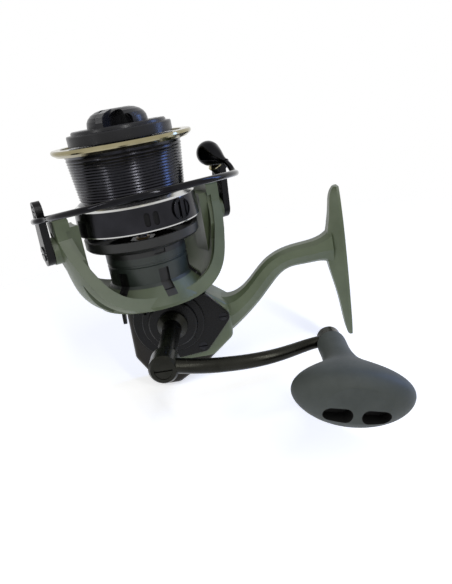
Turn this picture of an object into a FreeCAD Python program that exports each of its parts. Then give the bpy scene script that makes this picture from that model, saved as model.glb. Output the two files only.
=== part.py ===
import FreeCAD, Part
import math
import os
import re
import Sketcher

# A fixed-spool feeder reel of size 6000, in millimetres.
# Z points up along the spool's axis, +X points to the rod and the handle is on the -Y side.
# The origin is the middle of the foot's seat face, where the rod holds the reel.

SIZES = {
    # Overall
    "seat_to_spool": 98.0,
    "seat_to_lip": 77.0,
    "lip_to_handle": 90.0,
    "handle_offset": 8.0,
    "spool_stroke": 15.0,
    "rotor_angle": 28.6,
    # Clearances
    "fit_gap": 0.02,
    "running_gap": 0.05,
    "loose_gap": 0.3,
    # Spool
    "lip_radius": 33.0,
    "lip_height": 3.2,
    "lip_depth": 4.6,
    "arbor_drop": 6.0,
    "arbor_taper": 2.0,
    "arbor_length": 22.8,
    "arbor_wall": 1.4,
    "ridge_depth": 0.5,
    "skirt_radius": 29.9,
    "skirt_length": 14.0,
    "skirt_wall": 0.8,
    "skirt_taper": 0.6,
    "hub_radius": 8.2,
    "hub_flange_radius": 13.0,
    "bush_radius": 6.2,
    # Drag
    "pocket_radius": 15.0,
    "pocket_depth": 13.0,
    "pocket_floor": 3.0,
    "felt_thickness": 1.2,
    "steel_thickness": 0.8,
    "knob_radius": 24.5,
    "grip_radius": 14.2,
    "grip_top": 14.2,
    # Main shaft
    "shaft_radius": 2.2,
    "seat_radius": 4.5,
    # Rotor
    "rim_gap": 3.4,
    "rim_clearance": 0.4,
    "rim_wall": 1.7,
    "band_height": 4.0,
    "collar_radius": 20.0,
    "collar_wall": 2.0,
    "base_radius": 28.6,
    "web_thickness": 3.0,
    "nut_height": 4.5,
    "arm_radius": 42.6,
    "arm_thickness": 6.6,
    "arm_half_width": 7.6,
    "hoop_half_width": 26.6,
    "hoop_thickness": 4.6,
    "hoop_width": 4.2,
    # Bail
    "pivot_depth": 43.0,
    "lever_thickness": 3.4,
    "lever_length": 20.3,
    "wire_radius": 1.4,
    "wire_span": 44.7,
    "wire_reach": 55.3,
    "wire_depth": 27.85,
    "wire_slope": 8.25,
    # Clutch and bearings of the pinion
    "clutch_radius": 12.4,
    "clutch_height": 7.0,
    "pinion_bearing_radius": 9.5,
    "pinion_bearing_height": 4.5,
    "pinion_radius": 4.0,
    "neck_radius": 16.0,
    # Gears
    "face_width": 2.8,
    "drive_shaft_radius": 3.5,
    "drive_bearing_radius": 7.5,
    # Case
    "case_wall": 1.8,
    "case_back": 11.0,
    "case_front": 10.6,
    "cover_thickness": 2.4,
    "guard_thickness": 1.3,
    # Foot
    "foot_length": 78.0,
    "foot_width": 15.0,
    # Handle
    "hub_reach": 52.5,
    "arm_reach": 69.5,
    "arm_swell": 8.0,
    "knob_length": 48.4,
    "knob_span": 43.0,
    "knob_thickness": 22.0,
}

RIDGES = 15
DRIVE_TEETH = 46
PINION_TEETH = 10
WORM_TEETH = 12

# Places worked out from the sizes. Heights count from the lip plane, down the spool's axis.
PLACES = {
    "handle_x": "handle_offset - seat_to_spool",
    "handle_z": "seat_to_lip - lip_to_handle",
    "lip_bottom": "-lip_height",
    "lip_seat": "lip_radius - lip_depth",
    "arbor_top": "lip_radius - arbor_drop",
    "arbor_foot": "arbor_top - arbor_taper",
    "shoulder": "lip_bottom - arbor_length",
    "skirt_bottom": "shoulder - skirt_length",
    "skirt_top_radius": "skirt_radius - skirt_taper",
    "rim_top": "skirt_bottom - rim_gap",
    "rim_radius": "skirt_top_radius - skirt_wall - rim_clearance",
    "roof": "rim_top + spool_stroke + loose_gap + 0.2",
    "hub_bottom": "shoulder - 4",
    "seat_bottom": "hub_bottom - 2.2",
    "nut_top": "seat_bottom - spool_stroke - 0.8",
    "web_top": "nut_top - nut_height",
    "web_bottom": "web_top - web_thickness",
    "neck_top": "web_bottom - 2",
    "clutch_bottom": "neck_top - clutch_height",
    "bearing_bottom": "clutch_bottom - pinion_bearing_height",
    "cavity_top": "bearing_bottom - 1.5",
    "gear_radius": "lip_to_handle + cavity_top - loose_gap",
    "ring_middle": "gear_radius - face_width / 2",
    "teeth_bottom": "cavity_top - 7",
    "collar_inside": "collar_radius - collar_wall",
    "flare_top": "web_bottom - 11.3",
    "base_bottom": "web_bottom - 21.7",
}


def bound(text):
    """Put the sheet's name before each size or place in an expression."""
    def swap(match):
        word = match.group(0)
        if word in SIZES:
            return "Sizes." + word
        if word in PLACES:
            return "Places." + word
        return word
    return re.sub(r"[a-z][a-z_]*", swap, text)


doc = FreeCAD.newDocument("feeder_reel")
sizes = doc.addObject("Spreadsheet::Sheet", "Sizes")
places = doc.addObject("Spreadsheet::Sheet", "Places")
for row, (alias, number) in enumerate(SIZES.items(), 1):
    sizes.set(f"A{row}", alias)
    sizes.set(f"B{row}", str(number))
    sizes.setAlias(f"B{row}", alias)
for row, (alias, formula) in enumerate(PLACES.items(), 1):
    places.set(f"A{row}", alias)
    places.set(f"B{row}", "=" + bound(formula))
    places.setAlias(f"B{row}", alias)
doc.recompute()


class Dimensions:
    """The sheets' present values, for pieces whose shape is worked out in code."""

    def __getattr__(self, alias):
        sheet = sizes if alias in SIZES else places
        return float(getattr(sheet, alias))


dim = Dimensions()
subparts = []


def keep(piece, label):
    """Name a piece and put it on the list of sub-parts to be written."""
    piece.Label = label
    subparts.append(piece)
    return piece


def on_spool_axis(piece):
    """Place a piece whose own frame has the spool's axis as Z and the lip plane at zero."""
    piece.setExpression("Placement.Base.x", "-Sizes.seat_to_spool")
    piece.setExpression("Placement.Base.z", "Sizes.seat_to_lip")


def on_rotor(piece):
    """As on_spool_axis, turned so that the piece's own X runs along the bail's pivots."""
    on_spool_axis(piece)
    piece.setExpression("Placement.Rotation.Angle", "Sizes.rotor_angle")


def on_handle_axis(piece):
    """Place a piece whose own Z is the handle's axis, pointing out on the handle's side."""
    piece.Placement = FreeCAD.Placement(FreeCAD.Vector(), FreeCAD.Rotation(FreeCAD.Vector(1, 0, 0), 90))
    piece.setExpression("Placement.Base.x", "Places.handle_x")
    piece.setExpression("Placement.Base.z", "Places.handle_z")


def turned(label, outline, place=on_spool_axis):
    """A turned piece: a sketched half section, each corner bound to the sheet, spun about Z."""
    body = doc.addObject("PartDesign::Body", label)
    sketch = body.newObject("Sketcher::SketchObject", label + "_section")
    plane = [item for item in body.Origin.OriginFeatures if item.Role == "XZ_Plane"][0]
    sketch.AttachmentSupport = [(plane, "")]
    sketch.MapMode = "FlatFace"
    count = len(outline)
    corners = []
    for index in range(count):
        angle = 2 * math.pi * index / count
        corners.append(FreeCAD.Vector(20 + 10 * math.cos(angle), 10 * math.sin(angle), 0))
    for index in range(count):
        sketch.addGeometry(Part.LineSegment(corners[index], corners[(index + 1) % count]), False)
    for index in range(count):
        sketch.addConstraint(Sketcher.Constraint("Coincident", index, 2, (index + 1) % count, 1))
    for index, (radius, height) in enumerate(outline):
        for axis, kind, text in ((-2, "DistanceX", radius), (-1, "DistanceY", height)):
            if text == "0":
                sketch.addConstraint(Sketcher.Constraint("PointOnObject", index, 1, axis))
            else:
                start = corners[index].x if axis == -2 else corners[index].y
                number = sketch.addConstraint(Sketcher.Constraint(kind, -1, 1, index, 1, start))
                sketch.setExpression(f"Constraints[{number}]", bound(text))
    spin = body.newObject("PartDesign::Revolution", label + "_spin")
    spin.Profile = sketch
    spin.ReferenceAxis = (sketch, ["V_Axis"])
    spin.Angle = 360.0
    place(body)
    return keep(body, label)


def pierced(label, cutters):
    """Cut holes, given in the spool's own frame, out of a turned piece that is on the list."""
    blank = [piece for piece in subparts if piece.Label == label][0]
    subparts.remove(blank)
    blank.Label = label + "_blank"
    tool = doc.addObject("Part::Feature", label + "_holes")
    tool.Shape = Part.makeCompound(cutters)
    on_spool_axis(tool)
    cut = doc.addObject("Part::Cut", label + "_cut")
    cut.Base = blank
    cut.Tool = tool
    return keep(cut, label)


def shaped(label, shape, place=on_spool_axis):
    """A piece whose shape is worked out from the sheet's values in this file."""
    piece = doc.addObject("Part::Feature", label)
    piece.Shape = shape
    place(piece)
    return keep(piece, label)


def vec(x, y, z):
    return FreeCAD.Vector(x, y, z)


def cylinder(radius, low, high, x=0.0, y=0.0):
    return Part.makeCylinder(radius, high - low, vec(x, y, low))


def box(low, high):
    return Part.makeBox(high[0] - low[0], high[1] - low[1], high[2] - low[2], vec(*low))


def spun(outline):
    """Spin a half section, given as radius and height pairs, about Z."""
    wire = Part.makePolygon([vec(radius, 0, height) for radius, height in outline + outline[:1]])
    return Part.Face(wire).revolve(vec(0, 0, 0), vec(0, 0, 1), 360)


def drawn(start, moves):
    """A closed outline. A move is the next point, or the pair of a point on an arc and its end."""
    edges = []
    here = start
    for move in moves + [start]:
        if isinstance(move[0], tuple):
            through, end = move
            edges.append(Part.Arc(vec(*here), vec(*through), vec(*end)).toShape())
        else:
            end = move
            edges.append(Part.LineSegment(vec(*here), vec(*end)).toShape())
        here = end
    return Part.Wire(edges)


def slab(wire, start, thickness):
    """Extrude a flat outline by a thickness vector, from a start vector."""
    face = Part.Face(wire)
    face.translate(start)
    return face.extrude(thickness)


# Main shaft, spool seat and slider

SLIDER_HALF = 3.0

turned("main_shaft", [
    ("0", "4.6"), ("shaft_radius - 0.4", "4.6"), ("shaft_radius", "4.2"),
    ("shaft_radius", "-lip_to_handle - 8"), ("0", "-lip_to_handle - 8")])

seat = spun([
    (dim.shaft_radius + dim.fit_gap, dim.seat_bottom),
    (dim.hub_radius, dim.seat_bottom),
    (dim.hub_radius, dim.seat_bottom + 0.5),
    (dim.seat_radius, dim.seat_bottom + 0.5),
    (dim.seat_radius, -dim.pocket_depth - 0.1),
    (dim.shaft_radius + dim.fit_gap, -dim.pocket_depth - 0.1)])
PIN_RADIUS = 0.8
pin_height = dim.hub_bottom + 3.5
pin_hole = Part.makeCylinder(PIN_RADIUS + dim.fit_gap, 2 * dim.seat_radius,
                             vec(-dim.seat_radius, 0, pin_height),
                             vec(1, 0, 0))
shaped("spool_seat", seat.cut(pin_hole))
pierced("main_shaft", [Part.makeCylinder(PIN_RADIUS, 4 * dim.shaft_radius,
                                         vec(-2 * dim.shaft_radius, 0, pin_height),
                                          vec(1, 0, 0))])

pin_length = 2 * dim.seat_radius - 0.4
shaped("seat_pin", Part.makeCylinder(PIN_RADIUS, pin_length, vec(-pin_length / 2, 0, pin_height),
                                     vec(1, 0, 0)))

WORM_Y = -2.5
ring_reach = math.sqrt(dim.ring_middle ** 2 - dim.handle_offset ** 2)
pinion_pitch = ring_reach * PINION_TEETH / DRIVE_TEETH
worm_pitch = pinion_pitch * WORM_TEETH / PINION_TEETH
worm_x = -math.sqrt((pinion_pitch + worm_pitch) ** 2 - WORM_Y ** 2)
WORM_RADIUS = 3.0
GUIDE_RADIUS = 1.0
GUIDE = (-1.0, -6.0)
slider_middle = -dim.lip_to_handle - 2.0
block_left = worm_x - WORM_RADIUS - 1.3
block_low = slider_middle - SLIDER_HALF
block = box((block_left, GUIDE[1] - 1.8, block_low), (dim.shaft_radius + 1.3, 2.6,
                                                      slider_middle + SLIDER_HALF))
corner = [edge for edge in block.Edges
          if abs(edge.BoundBox.XMax - block_left) < 1e-6 and abs(edge.BoundBox.ZMax - block_low) < 1e-6]
block = block.makeChamfer(0.8, corner)
block = block.cut(cylinder(dim.shaft_radius + dim.fit_gap, slider_middle - 5, slider_middle + 5))
block = block.cut(cylinder(WORM_RADIUS + dim.loose_gap, slider_middle - 5, slider_middle + 5, worm_x, WORM_Y))
block = block.cut(cylinder(GUIDE_RADIUS + dim.running_gap, slider_middle - 5, slider_middle + 5, *GUIDE))
shaped("slider", block)
guide_low = -dim.lip_to_handle - 24.0
guide_high = -dim.lip_to_handle + 9.9
shaped("slider_guide", cylinder(GUIDE_RADIUS, guide_low, guide_high, *GUIDE))


# Spool and what turns with it

TOP_STEP = 0.6
CLIP_TOP = 1.6
CLIP_WIDTH = 1.0

ridges = []
ridge_span = "(arbor_length - 3.4)"
for index in range(RIDGES):
    low = f"shoulder + 1.4 + {ridge_span} * {index} / {RIDGES}"
    crest = f"shoulder + 1.4 + {ridge_span} * ({index} + 0.5) / {RIDGES}"
    lean = f"arbor_foot + arbor_taper * {index} / {RIDGES}"
    ridges.append((lean, low))
    ridges.append((lean + " + ridge_depth", crest))

turned("spool", [
    ("bush_radius", "hub_bottom"), ("hub_flange_radius", "hub_bottom"),
    ("hub_flange_radius", "hub_bottom + 1.4"), ("hub_radius", "hub_bottom + 1.4"),
    ("hub_radius", "-pocket_depth - pocket_floor"), ("pocket_radius + 2", "-pocket_depth - pocket_floor"),
    ("pocket_radius + 2", "lip_bottom - 0.2"), ("arbor_top - arbor_wall", "lip_bottom - 0.2"),
    ("arbor_foot - arbor_wall", "roof"), ("skirt_top_radius - skirt_wall", "roof"),
    ("skirt_radius - skirt_wall", "skirt_bottom"), ("skirt_radius", "skirt_bottom"),
    ("skirt_radius", "skirt_bottom + 0.7"), ("skirt_top_radius", "shoulder - 2.3"),
    ("skirt_top_radius - 0.7", "shoulder - 1.6"), ("arbor_foot + 1.2", "shoulder"),
    ("arbor_foot", "shoulder + 0.7")] + ridges + [
    ("arbor_top", "lip_bottom - 1.6"), ("lip_seat", "lip_bottom"),
    ("lip_seat", f"-{TOP_STEP}"), ("pocket_radius", f"-{TOP_STEP}"),
    ("pocket_radius", f"-{CLIP_TOP}"), ("pocket_radius + 0.6", f"-{CLIP_TOP}"),
    ("pocket_radius + 0.6", f"-{CLIP_TOP} - {CLIP_WIDTH}"), ("pocket_radius", f"-{CLIP_TOP} - {CLIP_WIDTH}"),
    ("pocket_radius", "-pocket_depth"), ("bush_radius", "-pocket_depth")])

turned("lip_ring", [
    ("lip_seat + fit_gap", "lip_bottom"), ("lip_radius - 2.2", "lip_bottom"),
    ("lip_radius - 0.4", "lip_bottom + 1.2"), ("lip_radius", "lip_bottom + 1.8"),
    ("lip_radius", "-0.5"), ("lip_radius - 0.5", "0"), ("lip_seat + fit_gap", "0")])

turned("spool_bush", [
    ("seat_radius + running_gap", "hub_bottom"), ("bush_radius - fit_gap", "hub_bottom"),
    ("bush_radius - fit_gap", "-pocket_depth - 0.1"), ("seat_radius + running_gap", "-pocket_depth - 0.1")])

turned("washer_clip", [
    ("pocket_radius - 0.8", f"-{CLIP_TOP} - 0.1"), ("pocket_radius + 0.5", f"-{CLIP_TOP} - 0.1"),
    ("pocket_radius + 0.5", f"-{CLIP_TOP} - {CLIP_WIDTH} + 0.1"),
    ("pocket_radius - 0.8", f"-{CLIP_TOP} - {CLIP_WIDTH} + 0.1")])


def washer_height(felts, steels):
    return -dim.pocket_depth + felts * dim.felt_thickness + steels * dim.steel_thickness


def washer(inner, outer, low, thickness):
    return cylinder(outer, low, low + thickness).cut(cylinder(inner, low - 1, low + thickness + 1))


felts = []
for number in range(3):
    felts.append(washer(dim.shaft_radius + 0.6, dim.pocket_radius - 0.7, washer_height(number, number),
                        dim.felt_thickness))
shaped("felt_washers", Part.makeCompound(felts))
keyed = []
for number in (0, 2):
    keyed.append(washer(dim.shaft_radius + dim.fit_gap, dim.pocket_radius - 0.9,
                        washer_height(number + 1, number),
                        dim.steel_thickness))
shaped("keyed_washers", Part.makeCompound(keyed))
eared = washer(dim.shaft_radius + 0.6, dim.pocket_radius - 0.2, washer_height(2, 1), dim.steel_thickness)
shaped("eared_washer", eared)

# Two slots beside the line clip
SLOT_ANGLES = [-73.0, -65.0]
SLOT_HALF = 1.3
slot_low = dim.skirt_bottom + 2.4
slot_high = dim.shoulder - 5.4
slots = []
for angle in SLOT_ANGLES:
    slot = box((dim.skirt_radius - 4, -SLOT_HALF, slot_low + SLOT_HALF),
               (dim.skirt_radius + 2, SLOT_HALF, slot_high - SLOT_HALF))
    for height in (slot_low + SLOT_HALF, slot_high - SLOT_HALF):
        slot = slot.fuse(Part.makeCylinder(SLOT_HALF, 6, vec(dim.skirt_radius - 4, 0, height), vec(1, 0, 0)))
    slot.rotate(vec(0, 0, 0), vec(0, 0, 1), angle)
    slots.append(slot)
pierced("spool", slots)

# A round clip on the skirt holds the end of the line under its middle bar
CLIP_ANGLE = -38.0
CLIP_RADIUS = 5.2
CLIP_BAR = 1.0
clip_height = dim.skirt_bottom + 6.4
clip_face = dim.skirt_radius + 0.7
clip = Part.makeCylinder(CLIP_RADIUS, 3.0, vec(clip_face - 3.0, 0, clip_height), vec(1, 0, 0))
clip_rim = Part.makeTorus(CLIP_RADIUS, 0.35, vec(clip_face, 0, clip_height), vec(1, 0, 0))
dish = Part.makeCylinder(CLIP_RADIUS - 0.8, 1, vec(clip_face - 0.35, 0, clip_height), vec(1, 0, 0))
bar = box((clip_face - 1, -CLIP_BAR, clip_height - CLIP_RADIUS),
          (clip_face, CLIP_BAR, clip_height + CLIP_RADIUS))
clip = clip.cut(clip_rim).cut(dish.cut(bar))
for side in (-1, 1):
    middle = side * (CLIP_BAR + 0.8)
    clip = clip.cut(box((clip_face - 0.75, middle - 0.8, clip_height - 3.4),
                        (clip_face + 1, middle + 0.8, clip_height + 3.4)))
clip_bed = Part.makeCone(dim.skirt_radius + dim.fit_gap, dim.skirt_top_radius + dim.fit_gap,
                         dim.skirt_length - 3.0, vec(0, 0, dim.skirt_bottom + 0.7))
clip.rotate(vec(0, 0, 0), vec(0, 0, 1), CLIP_ANGLE)
shaped("line_clip", clip.cut(clip_bed))

# Click wheel on the seat and its sprung pawl under the spool's hub
CLICK_TEETH = 24
wheel_points = []
for index in range(2 * CLICK_TEETH):
    angle = math.pi * index / CLICK_TEETH
    radius = dim.hub_radius if index % 2 == 0 else dim.hub_radius - 0.8
    wheel_points.append((radius * math.cos(angle), radius * math.sin(angle), 0.0))
wheel = slab(drawn(wheel_points[0], wheel_points[1:]), vec(0, 0, dim.seat_bottom + 0.5), vec(0, 0, 1.4))
shaped("click_wheel", wheel.cut(cylinder(dim.seat_radius + dim.fit_gap, dim.seat_bottom, dim.hub_bottom)))
pawl_middle = dim.hub_radius + dim.loose_gap + 1.9
pawl = box((dim.hub_radius + dim.loose_gap, -1.2, dim.hub_bottom - 1.5), (pawl_middle, 1.2, dim.hub_bottom))
shaped("click_pawl", pawl.fuse(cylinder(1.9, dim.hub_bottom - 1.5, dim.hub_bottom, pawl_middle)))


# Drag knob

GROOVE = ("knob_radius - 7.2", "knob_radius - 6")
turned("drag_knob", [
    ("0", "5.6"), ("6.4", "5.6"), ("6.4", "-1"), ("pocket_radius - 1.4", "-1"),
    ("pocket_radius - 1.4", "2"), ("knob_radius - 1.6", "2"), ("knob_radius - 1.6", "loose_gap"),
    ("knob_radius", "loose_gap"), ("knob_radius", "4.5"), ("knob_radius - 0.4", "5"),
    ("knob_radius - 2.2", "5.2"), ("knob_radius - 2.4", "6.1"), ("knob_radius - 2.9", "6.6"),
    (GROOVE[1], "6.6"), (GROOVE[1] + " - 0.3", "6.2"), (GROOVE[0] + " + 0.3", "6.2"), (GROOVE[0], "6.6"),
    ("0", "6.6")])

# The grip is a dome with a fin across it. Beside each end of the fin are a slot, an arch and a small hollow.
GRIP_FOOT = 6.6
GRIP_ANGLE = -101.0
FIN_HALF = 1.65
FIN_SIDE = [(0.0, 14.0), (10.0, 13.5), (17.0, 12.4), (20.4, 10.8), (21.4, 8.6), (21.4, GRIP_FOOT),
            (0.0, GRIP_FOOT)]
dome_points = [(0.0, GRIP_FOOT), (dim.grip_radius, GRIP_FOOT), (dim.grip_radius, GRIP_FOOT + 1)]
dome_steps = 6
for index in range(1, dome_steps + 1):
    angle = math.pi / 2 * index / dome_steps
    dome_points.append((dim.grip_radius * math.cos(angle) ** 0.65,
                        GRIP_FOOT + 1 + (dim.grip_top - GRIP_FOOT - 1) * math.sin(angle)))
dome_points[-1] = (0.0, dim.grip_top)
dome = spun(dome_points)


def arch(inner, middle, half, top):
    """A hollow with a round top that runs out from an inner distance, beside the fin."""
    low = box((inner, middle - half, GRIP_FOOT - 1), (30, middle + half, top - half))
    return low.fuse(Part.makeCylinder(half, 30 - inner, vec(inner, middle, top - half), vec(1, 0, 0)))


small_arch = arch(8.5, 0, 2.3, 10.8)
small_arch.rotate(vec(0, 0, 0), vec(0, 0, 1), 42)
hollows = [box((5.0, -FIN_HALF - 2.7, GRIP_FOOT - 1), (30, -FIN_HALF, 20)),
           arch(5.5, FIN_HALF + 3.2, 3.2, 13.0), small_arch]
fin = slab(drawn((FIN_SIDE[0][0], 0, FIN_SIDE[0][1]), [(a, 0, b) for a, b in FIN_SIDE[1:]]),
           vec(0, -FIN_HALF, 0), vec(0, 2 * FIN_HALF, 0))
for half_turn in (0, 180):
    for hollow_shape in hollows:
        turned_shape = hollow_shape.copy()
        turned_shape.rotate(vec(0, 0, 0), vec(0, 0, 1), half_turn)
        dome = dome.cut(turned_shape)
    other_fin = fin.copy()
    other_fin.rotate(vec(0, 0, 0), vec(0, 0, 1), half_turn)
    dome = dome.fuse(other_fin)
crown = cylinder(dim.grip_radius * 2, dim.grip_top - 0.4, dim.grip_top + 4)
dome = dome.cut(crown)
dome.rotate(vec(0, 0, 0), vec(0, 0, 1), GRIP_ANGLE)
shaped("drag_knob_grip", dome.removeSplitter())

turned("drag_nut", [
    ("shaft_radius + running_gap", "-0.9"), ("6", "-0.9"), ("6", "3.4"),
    ("shaft_radius + running_gap", "3.4")])
turned("drag_spring", [
    ("shaft_radius + 0.5", "-pocket_depth + 3 * felt_thickness + 3 * steel_thickness + 0.1"),
    ("shaft_radius + 2.2", "-pocket_depth + 3 * felt_thickness + 3 * steel_thickness + 0.1"),
    ("shaft_radius + 2.2", "-1"), ("shaft_radius + 0.5", "-1")])


# Pinion, clutch and the bearings that carry them

TOOTH_HEIGHT = 0.55
TOOTH_ROOT = 0.7
BACKLASH = 0.3


def spur_wheel(teeth, pitch, low, high, phase):
    """A spur wheel with straight-sided teeth. phase turns it, in teeth."""
    step = 2 * math.pi / teeth
    quarter = (math.pi * pitch / teeth - BACKLASH) / 2
    crest = quarter - TOOTH_HEIGHT * math.tan(math.radians(20))
    root = quarter + TOOTH_ROOT * math.tan(math.radians(14))
    points = []
    for index in range(teeth):
        middle = (index + phase) * step
        for radius, half in ((pitch - TOOTH_ROOT, -root), (pitch + TOOTH_HEIGHT, -crest),
                             (pitch + TOOTH_HEIGHT, crest), (pitch - TOOTH_ROOT, root)):
            angle = middle + half / radius
            points.append((radius * math.cos(angle), radius * math.sin(angle), 0.0))
    return slab(drawn(points[0], points[1:]), vec(0, 0, low), vec(0, 0, high - low))


pinion_bore = dim.shaft_radius + dim.running_gap
journal = pinion_pitch - TOOTH_ROOT
teeth_top = dim.cavity_top - 0.3
pinion = spur_wheel(PINION_TEETH, pinion_pitch, dim.teeth_bottom, teeth_top, 0.25 * PINION_TEETH)
pinion = pinion.fuse(cylinder(dim.pinion_radius, teeth_top, dim.web_bottom))
pinion = pinion.fuse(cylinder(dim.pinion_radius - 0.6, dim.web_bottom, dim.nut_top + 0.4))
pinion = pinion.fuse(cylinder(journal, dim.teeth_bottom - 3.2, dim.teeth_bottom))
pinion = pinion.cut(cylinder(pinion_bore, dim.teeth_bottom - 5, dim.nut_top + 2))
shaped("pinion", pinion)

turned("pinion_bearing", [
    ("pinion_radius + running_gap", "bearing_bottom + 0.1"),
    ("pinion_bearing_radius", "bearing_bottom + 0.1"),
    ("pinion_bearing_radius", "clutch_bottom"), ("pinion_radius + running_gap", "clutch_bottom")])
BUSH_OUTER = 3.9
bush_low = dim.teeth_bottom - 3.0
bush = cylinder(BUSH_OUTER, bush_low, dim.teeth_bottom - 0.1)
shaped("pinion_bush", bush.cut(cylinder(journal + dim.running_gap, bush_low - 1, dim.teeth_bottom + 1)))

ROLLERS = 6
ROLLER_RADIUS = 1.25
sleeve_radius = dim.pinion_radius + 2.2
track = sleeve_radius + 0.1 + ROLLER_RADIUS
turned("clutch_sleeve", [
    ("pinion_radius + fit_gap", "clutch_bottom + 0.2"), ("pinion_radius + 2.2", "clutch_bottom + 0.2"),
    ("pinion_radius + 2.2", "neck_top - 0.2"), ("pinion_radius + fit_gap", "neck_top - 0.2")])
clutch = cylinder(dim.clutch_radius, dim.clutch_bottom, dim.neck_top)
clutch = clutch.cut(cylinder(sleeve_radius + 0.4, dim.clutch_bottom - 1, dim.neck_top + 1))
rollers = []
for index in range(ROLLERS):
    angle = 2 * math.pi * index / ROLLERS
    spot = (track * math.cos(angle), track * math.sin(angle))
    clutch = clutch.cut(cylinder(ROLLER_RADIUS + 0.1, dim.clutch_bottom + 1, dim.neck_top - 1, *spot))
    rollers.append(cylinder(ROLLER_RADIUS, dim.clutch_bottom + 1.1, dim.neck_top - 1.1, *spot))
shaped("clutch_ring", clutch)
shaped("clutch_rollers", Part.makeCompound(rollers))

RETAINER_SCREWS = 3
screw_circle = (dim.clutch_radius + dim.neck_radius) / 2
retainer = cylinder(dim.neck_radius - 0.4, dim.neck_top, dim.neck_top + 1.2)
retainer = retainer.cut(cylinder(sleeve_radius + 0.6, dim.neck_top - 1, dim.neck_top + 3))
retainer_screws = []
screw_bores = []
for index in range(RETAINER_SCREWS):
    angle = 2 * math.pi * (index + 0.5) / RETAINER_SCREWS
    spot = (screw_circle * math.cos(angle), screw_circle * math.sin(angle))
    screw_bores.append(cylinder(0.8, dim.neck_top - 5, dim.neck_top + 2, *spot))
    head = Part.makeCone(0.8, 1.2, 0.7, vec(spot[0], spot[1], dim.neck_top + 0.5))
    retainer_screws.append(cylinder(0.8, dim.neck_top - 4, dim.neck_top + 0.5, *spot).fuse(head))
retainer = retainer.cut(screw_bores).cut(retainer_screws)
shaped("clutch_retainer", retainer)
shaped("retainer_screws", Part.makeCompound(retainer_screws))


# Worm shaft with its gear, which drives the slider

worm_top = dim.cavity_top + 1.0
worm_low = -dim.lip_to_handle - 22.0
worm = cylinder(1.6, worm_low - 2.4, worm_top, worm_x, WORM_Y)
worm = worm.fuse(cylinder(WORM_RADIUS, worm_low, dim.teeth_bottom - 4.0, worm_x, WORM_Y))
groove_cuts = []
GROOVE_STEP = 4.4
groove_count = 5
for index in range(groove_count):
    for lean in (-1, 1):
        cut = cylinder(2 * WORM_RADIUS, -0.7, 0.7).cut(cylinder(WORM_RADIUS - 0.6, -1, 1))
        cut.rotate(vec(0, 0, 0), vec(1, 0, 0), lean * 24)
        cut.translate(vec(worm_x, WORM_Y, worm_low + 4.2 + GROOVE_STEP * index))
        groove_cuts.append(cut)
worm = worm.cut(groove_cuts)
shaped("worm_shaft", worm)
pinion_step = 360.0 / PINION_TEETH
way_to_worm = math.degrees(math.atan2(WORM_Y, worm_x))
tooth_beside = (90.0 - way_to_worm + pinion_step / 2) % pinion_step - pinion_step / 2
wheel = spur_wheel(WORM_TEETH, worm_pitch, dim.teeth_bottom, teeth_top - 0.2, 0.5)
wheel.rotate(vec(0, 0, 0), vec(0, 0, 1), way_to_worm + 180.0 - tooth_beside * PINION_TEETH / WORM_TEETH)
wheel.translate(vec(worm_x, WORM_Y, 0))
shaped("worm_gear", wheel.cut(cylinder(1.6 + dim.fit_gap, dim.teeth_bottom - 1, worm_top, worm_x, WORM_Y)))


# Drive gear: a ring of teeth on its face meshes with the pinion, which passes it off centre

tip_plane = -(pinion_pitch - TOOTH_HEIGHT)
root_plane = -(pinion_pitch + TOOTH_ROOT)
gear_back = root_plane - 3.6
tooth_pitch = 2 * math.pi * pinion_pitch / PINION_TEETH


def crown_tooth(middle):
    """One face tooth, lying parallel to the pinion where the two mesh."""
    quarter = (tooth_pitch / 2 - BACKLASH) / 2
    slope = math.tan(math.radians(16))
    low = root_plane - 0.2
    corners = []
    for height, sign in ((low, -1), (tip_plane, -1), (tip_plane, 1), (low, 1)):
        half = quarter + (-pinion_pitch - height) * slope
        corners.append((middle + sign * half, 0.0, height))
    tooth = slab(drawn(corners[0], corners[1:]), vec(0, 0, 0), vec(0, 2 * dim.gear_radius, 0))
    ring = cylinder(dim.gear_radius, low - 1, tip_plane + 1)
    ring = ring.cut(cylinder(dim.gear_radius - dim.face_width, low - 2, tip_plane + 2))
    return tooth.common(ring)


step_angle = 360.0 / DRIVE_TEETH
first_tooth = crown_tooth(-dim.handle_offset)
gear = spun([
    (0, gear_back - 0.2), (6.4, gear_back - 0.2), (6.4, gear_back + 0.9),
    (dim.gear_radius - dim.face_width - 0.3, gear_back + 0.9),
    (dim.gear_radius - dim.face_width - 0.3, gear_back + 0.4), (dim.gear_radius, gear_back + 0.4),
    (dim.gear_radius, root_plane), (dim.gear_radius - dim.face_width, root_plane),
    (dim.gear_radius - dim.face_width, gear_back + 2.2), (6.4, gear_back + 2.2), (6.4, gear_back + 3.4),
    (0, gear_back + 3.4)])
gear_teeth = []
for index in range(DRIVE_TEETH):
    tooth = first_tooth.copy()
    tooth.rotate(vec(0, 0, 0), vec(0, 0, 1), step_angle * (index + 0.5))
    gear_teeth.append(tooth)
gear = gear.fuse(gear_teeth)
shaft_back = -dim.case_back - 2.0
bearing_out = dim.case_front + 4.6
gear = gear.fuse(cylinder(dim.drive_shaft_radius, shaft_back, bearing_out))
gear = gear.cut(cylinder(dim.drive_shaft_radius - 1.2, -4.0, bearing_out + 1))
shaped("drive_gear", gear, on_handle_axis)

bearings = []
for low, high in ((dim.case_front - 0.2, bearing_out - 0.1), (shaft_back, gear_back - 0.4)):
    ring = cylinder(dim.drive_bearing_radius, low, high)
    bearings.append(ring.cut(cylinder(dim.drive_shaft_radius + dim.running_gap, low - 1, high + 1)))
shaped("drive_bearings", Part.makeCompound(bearings), on_handle_axis)


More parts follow.
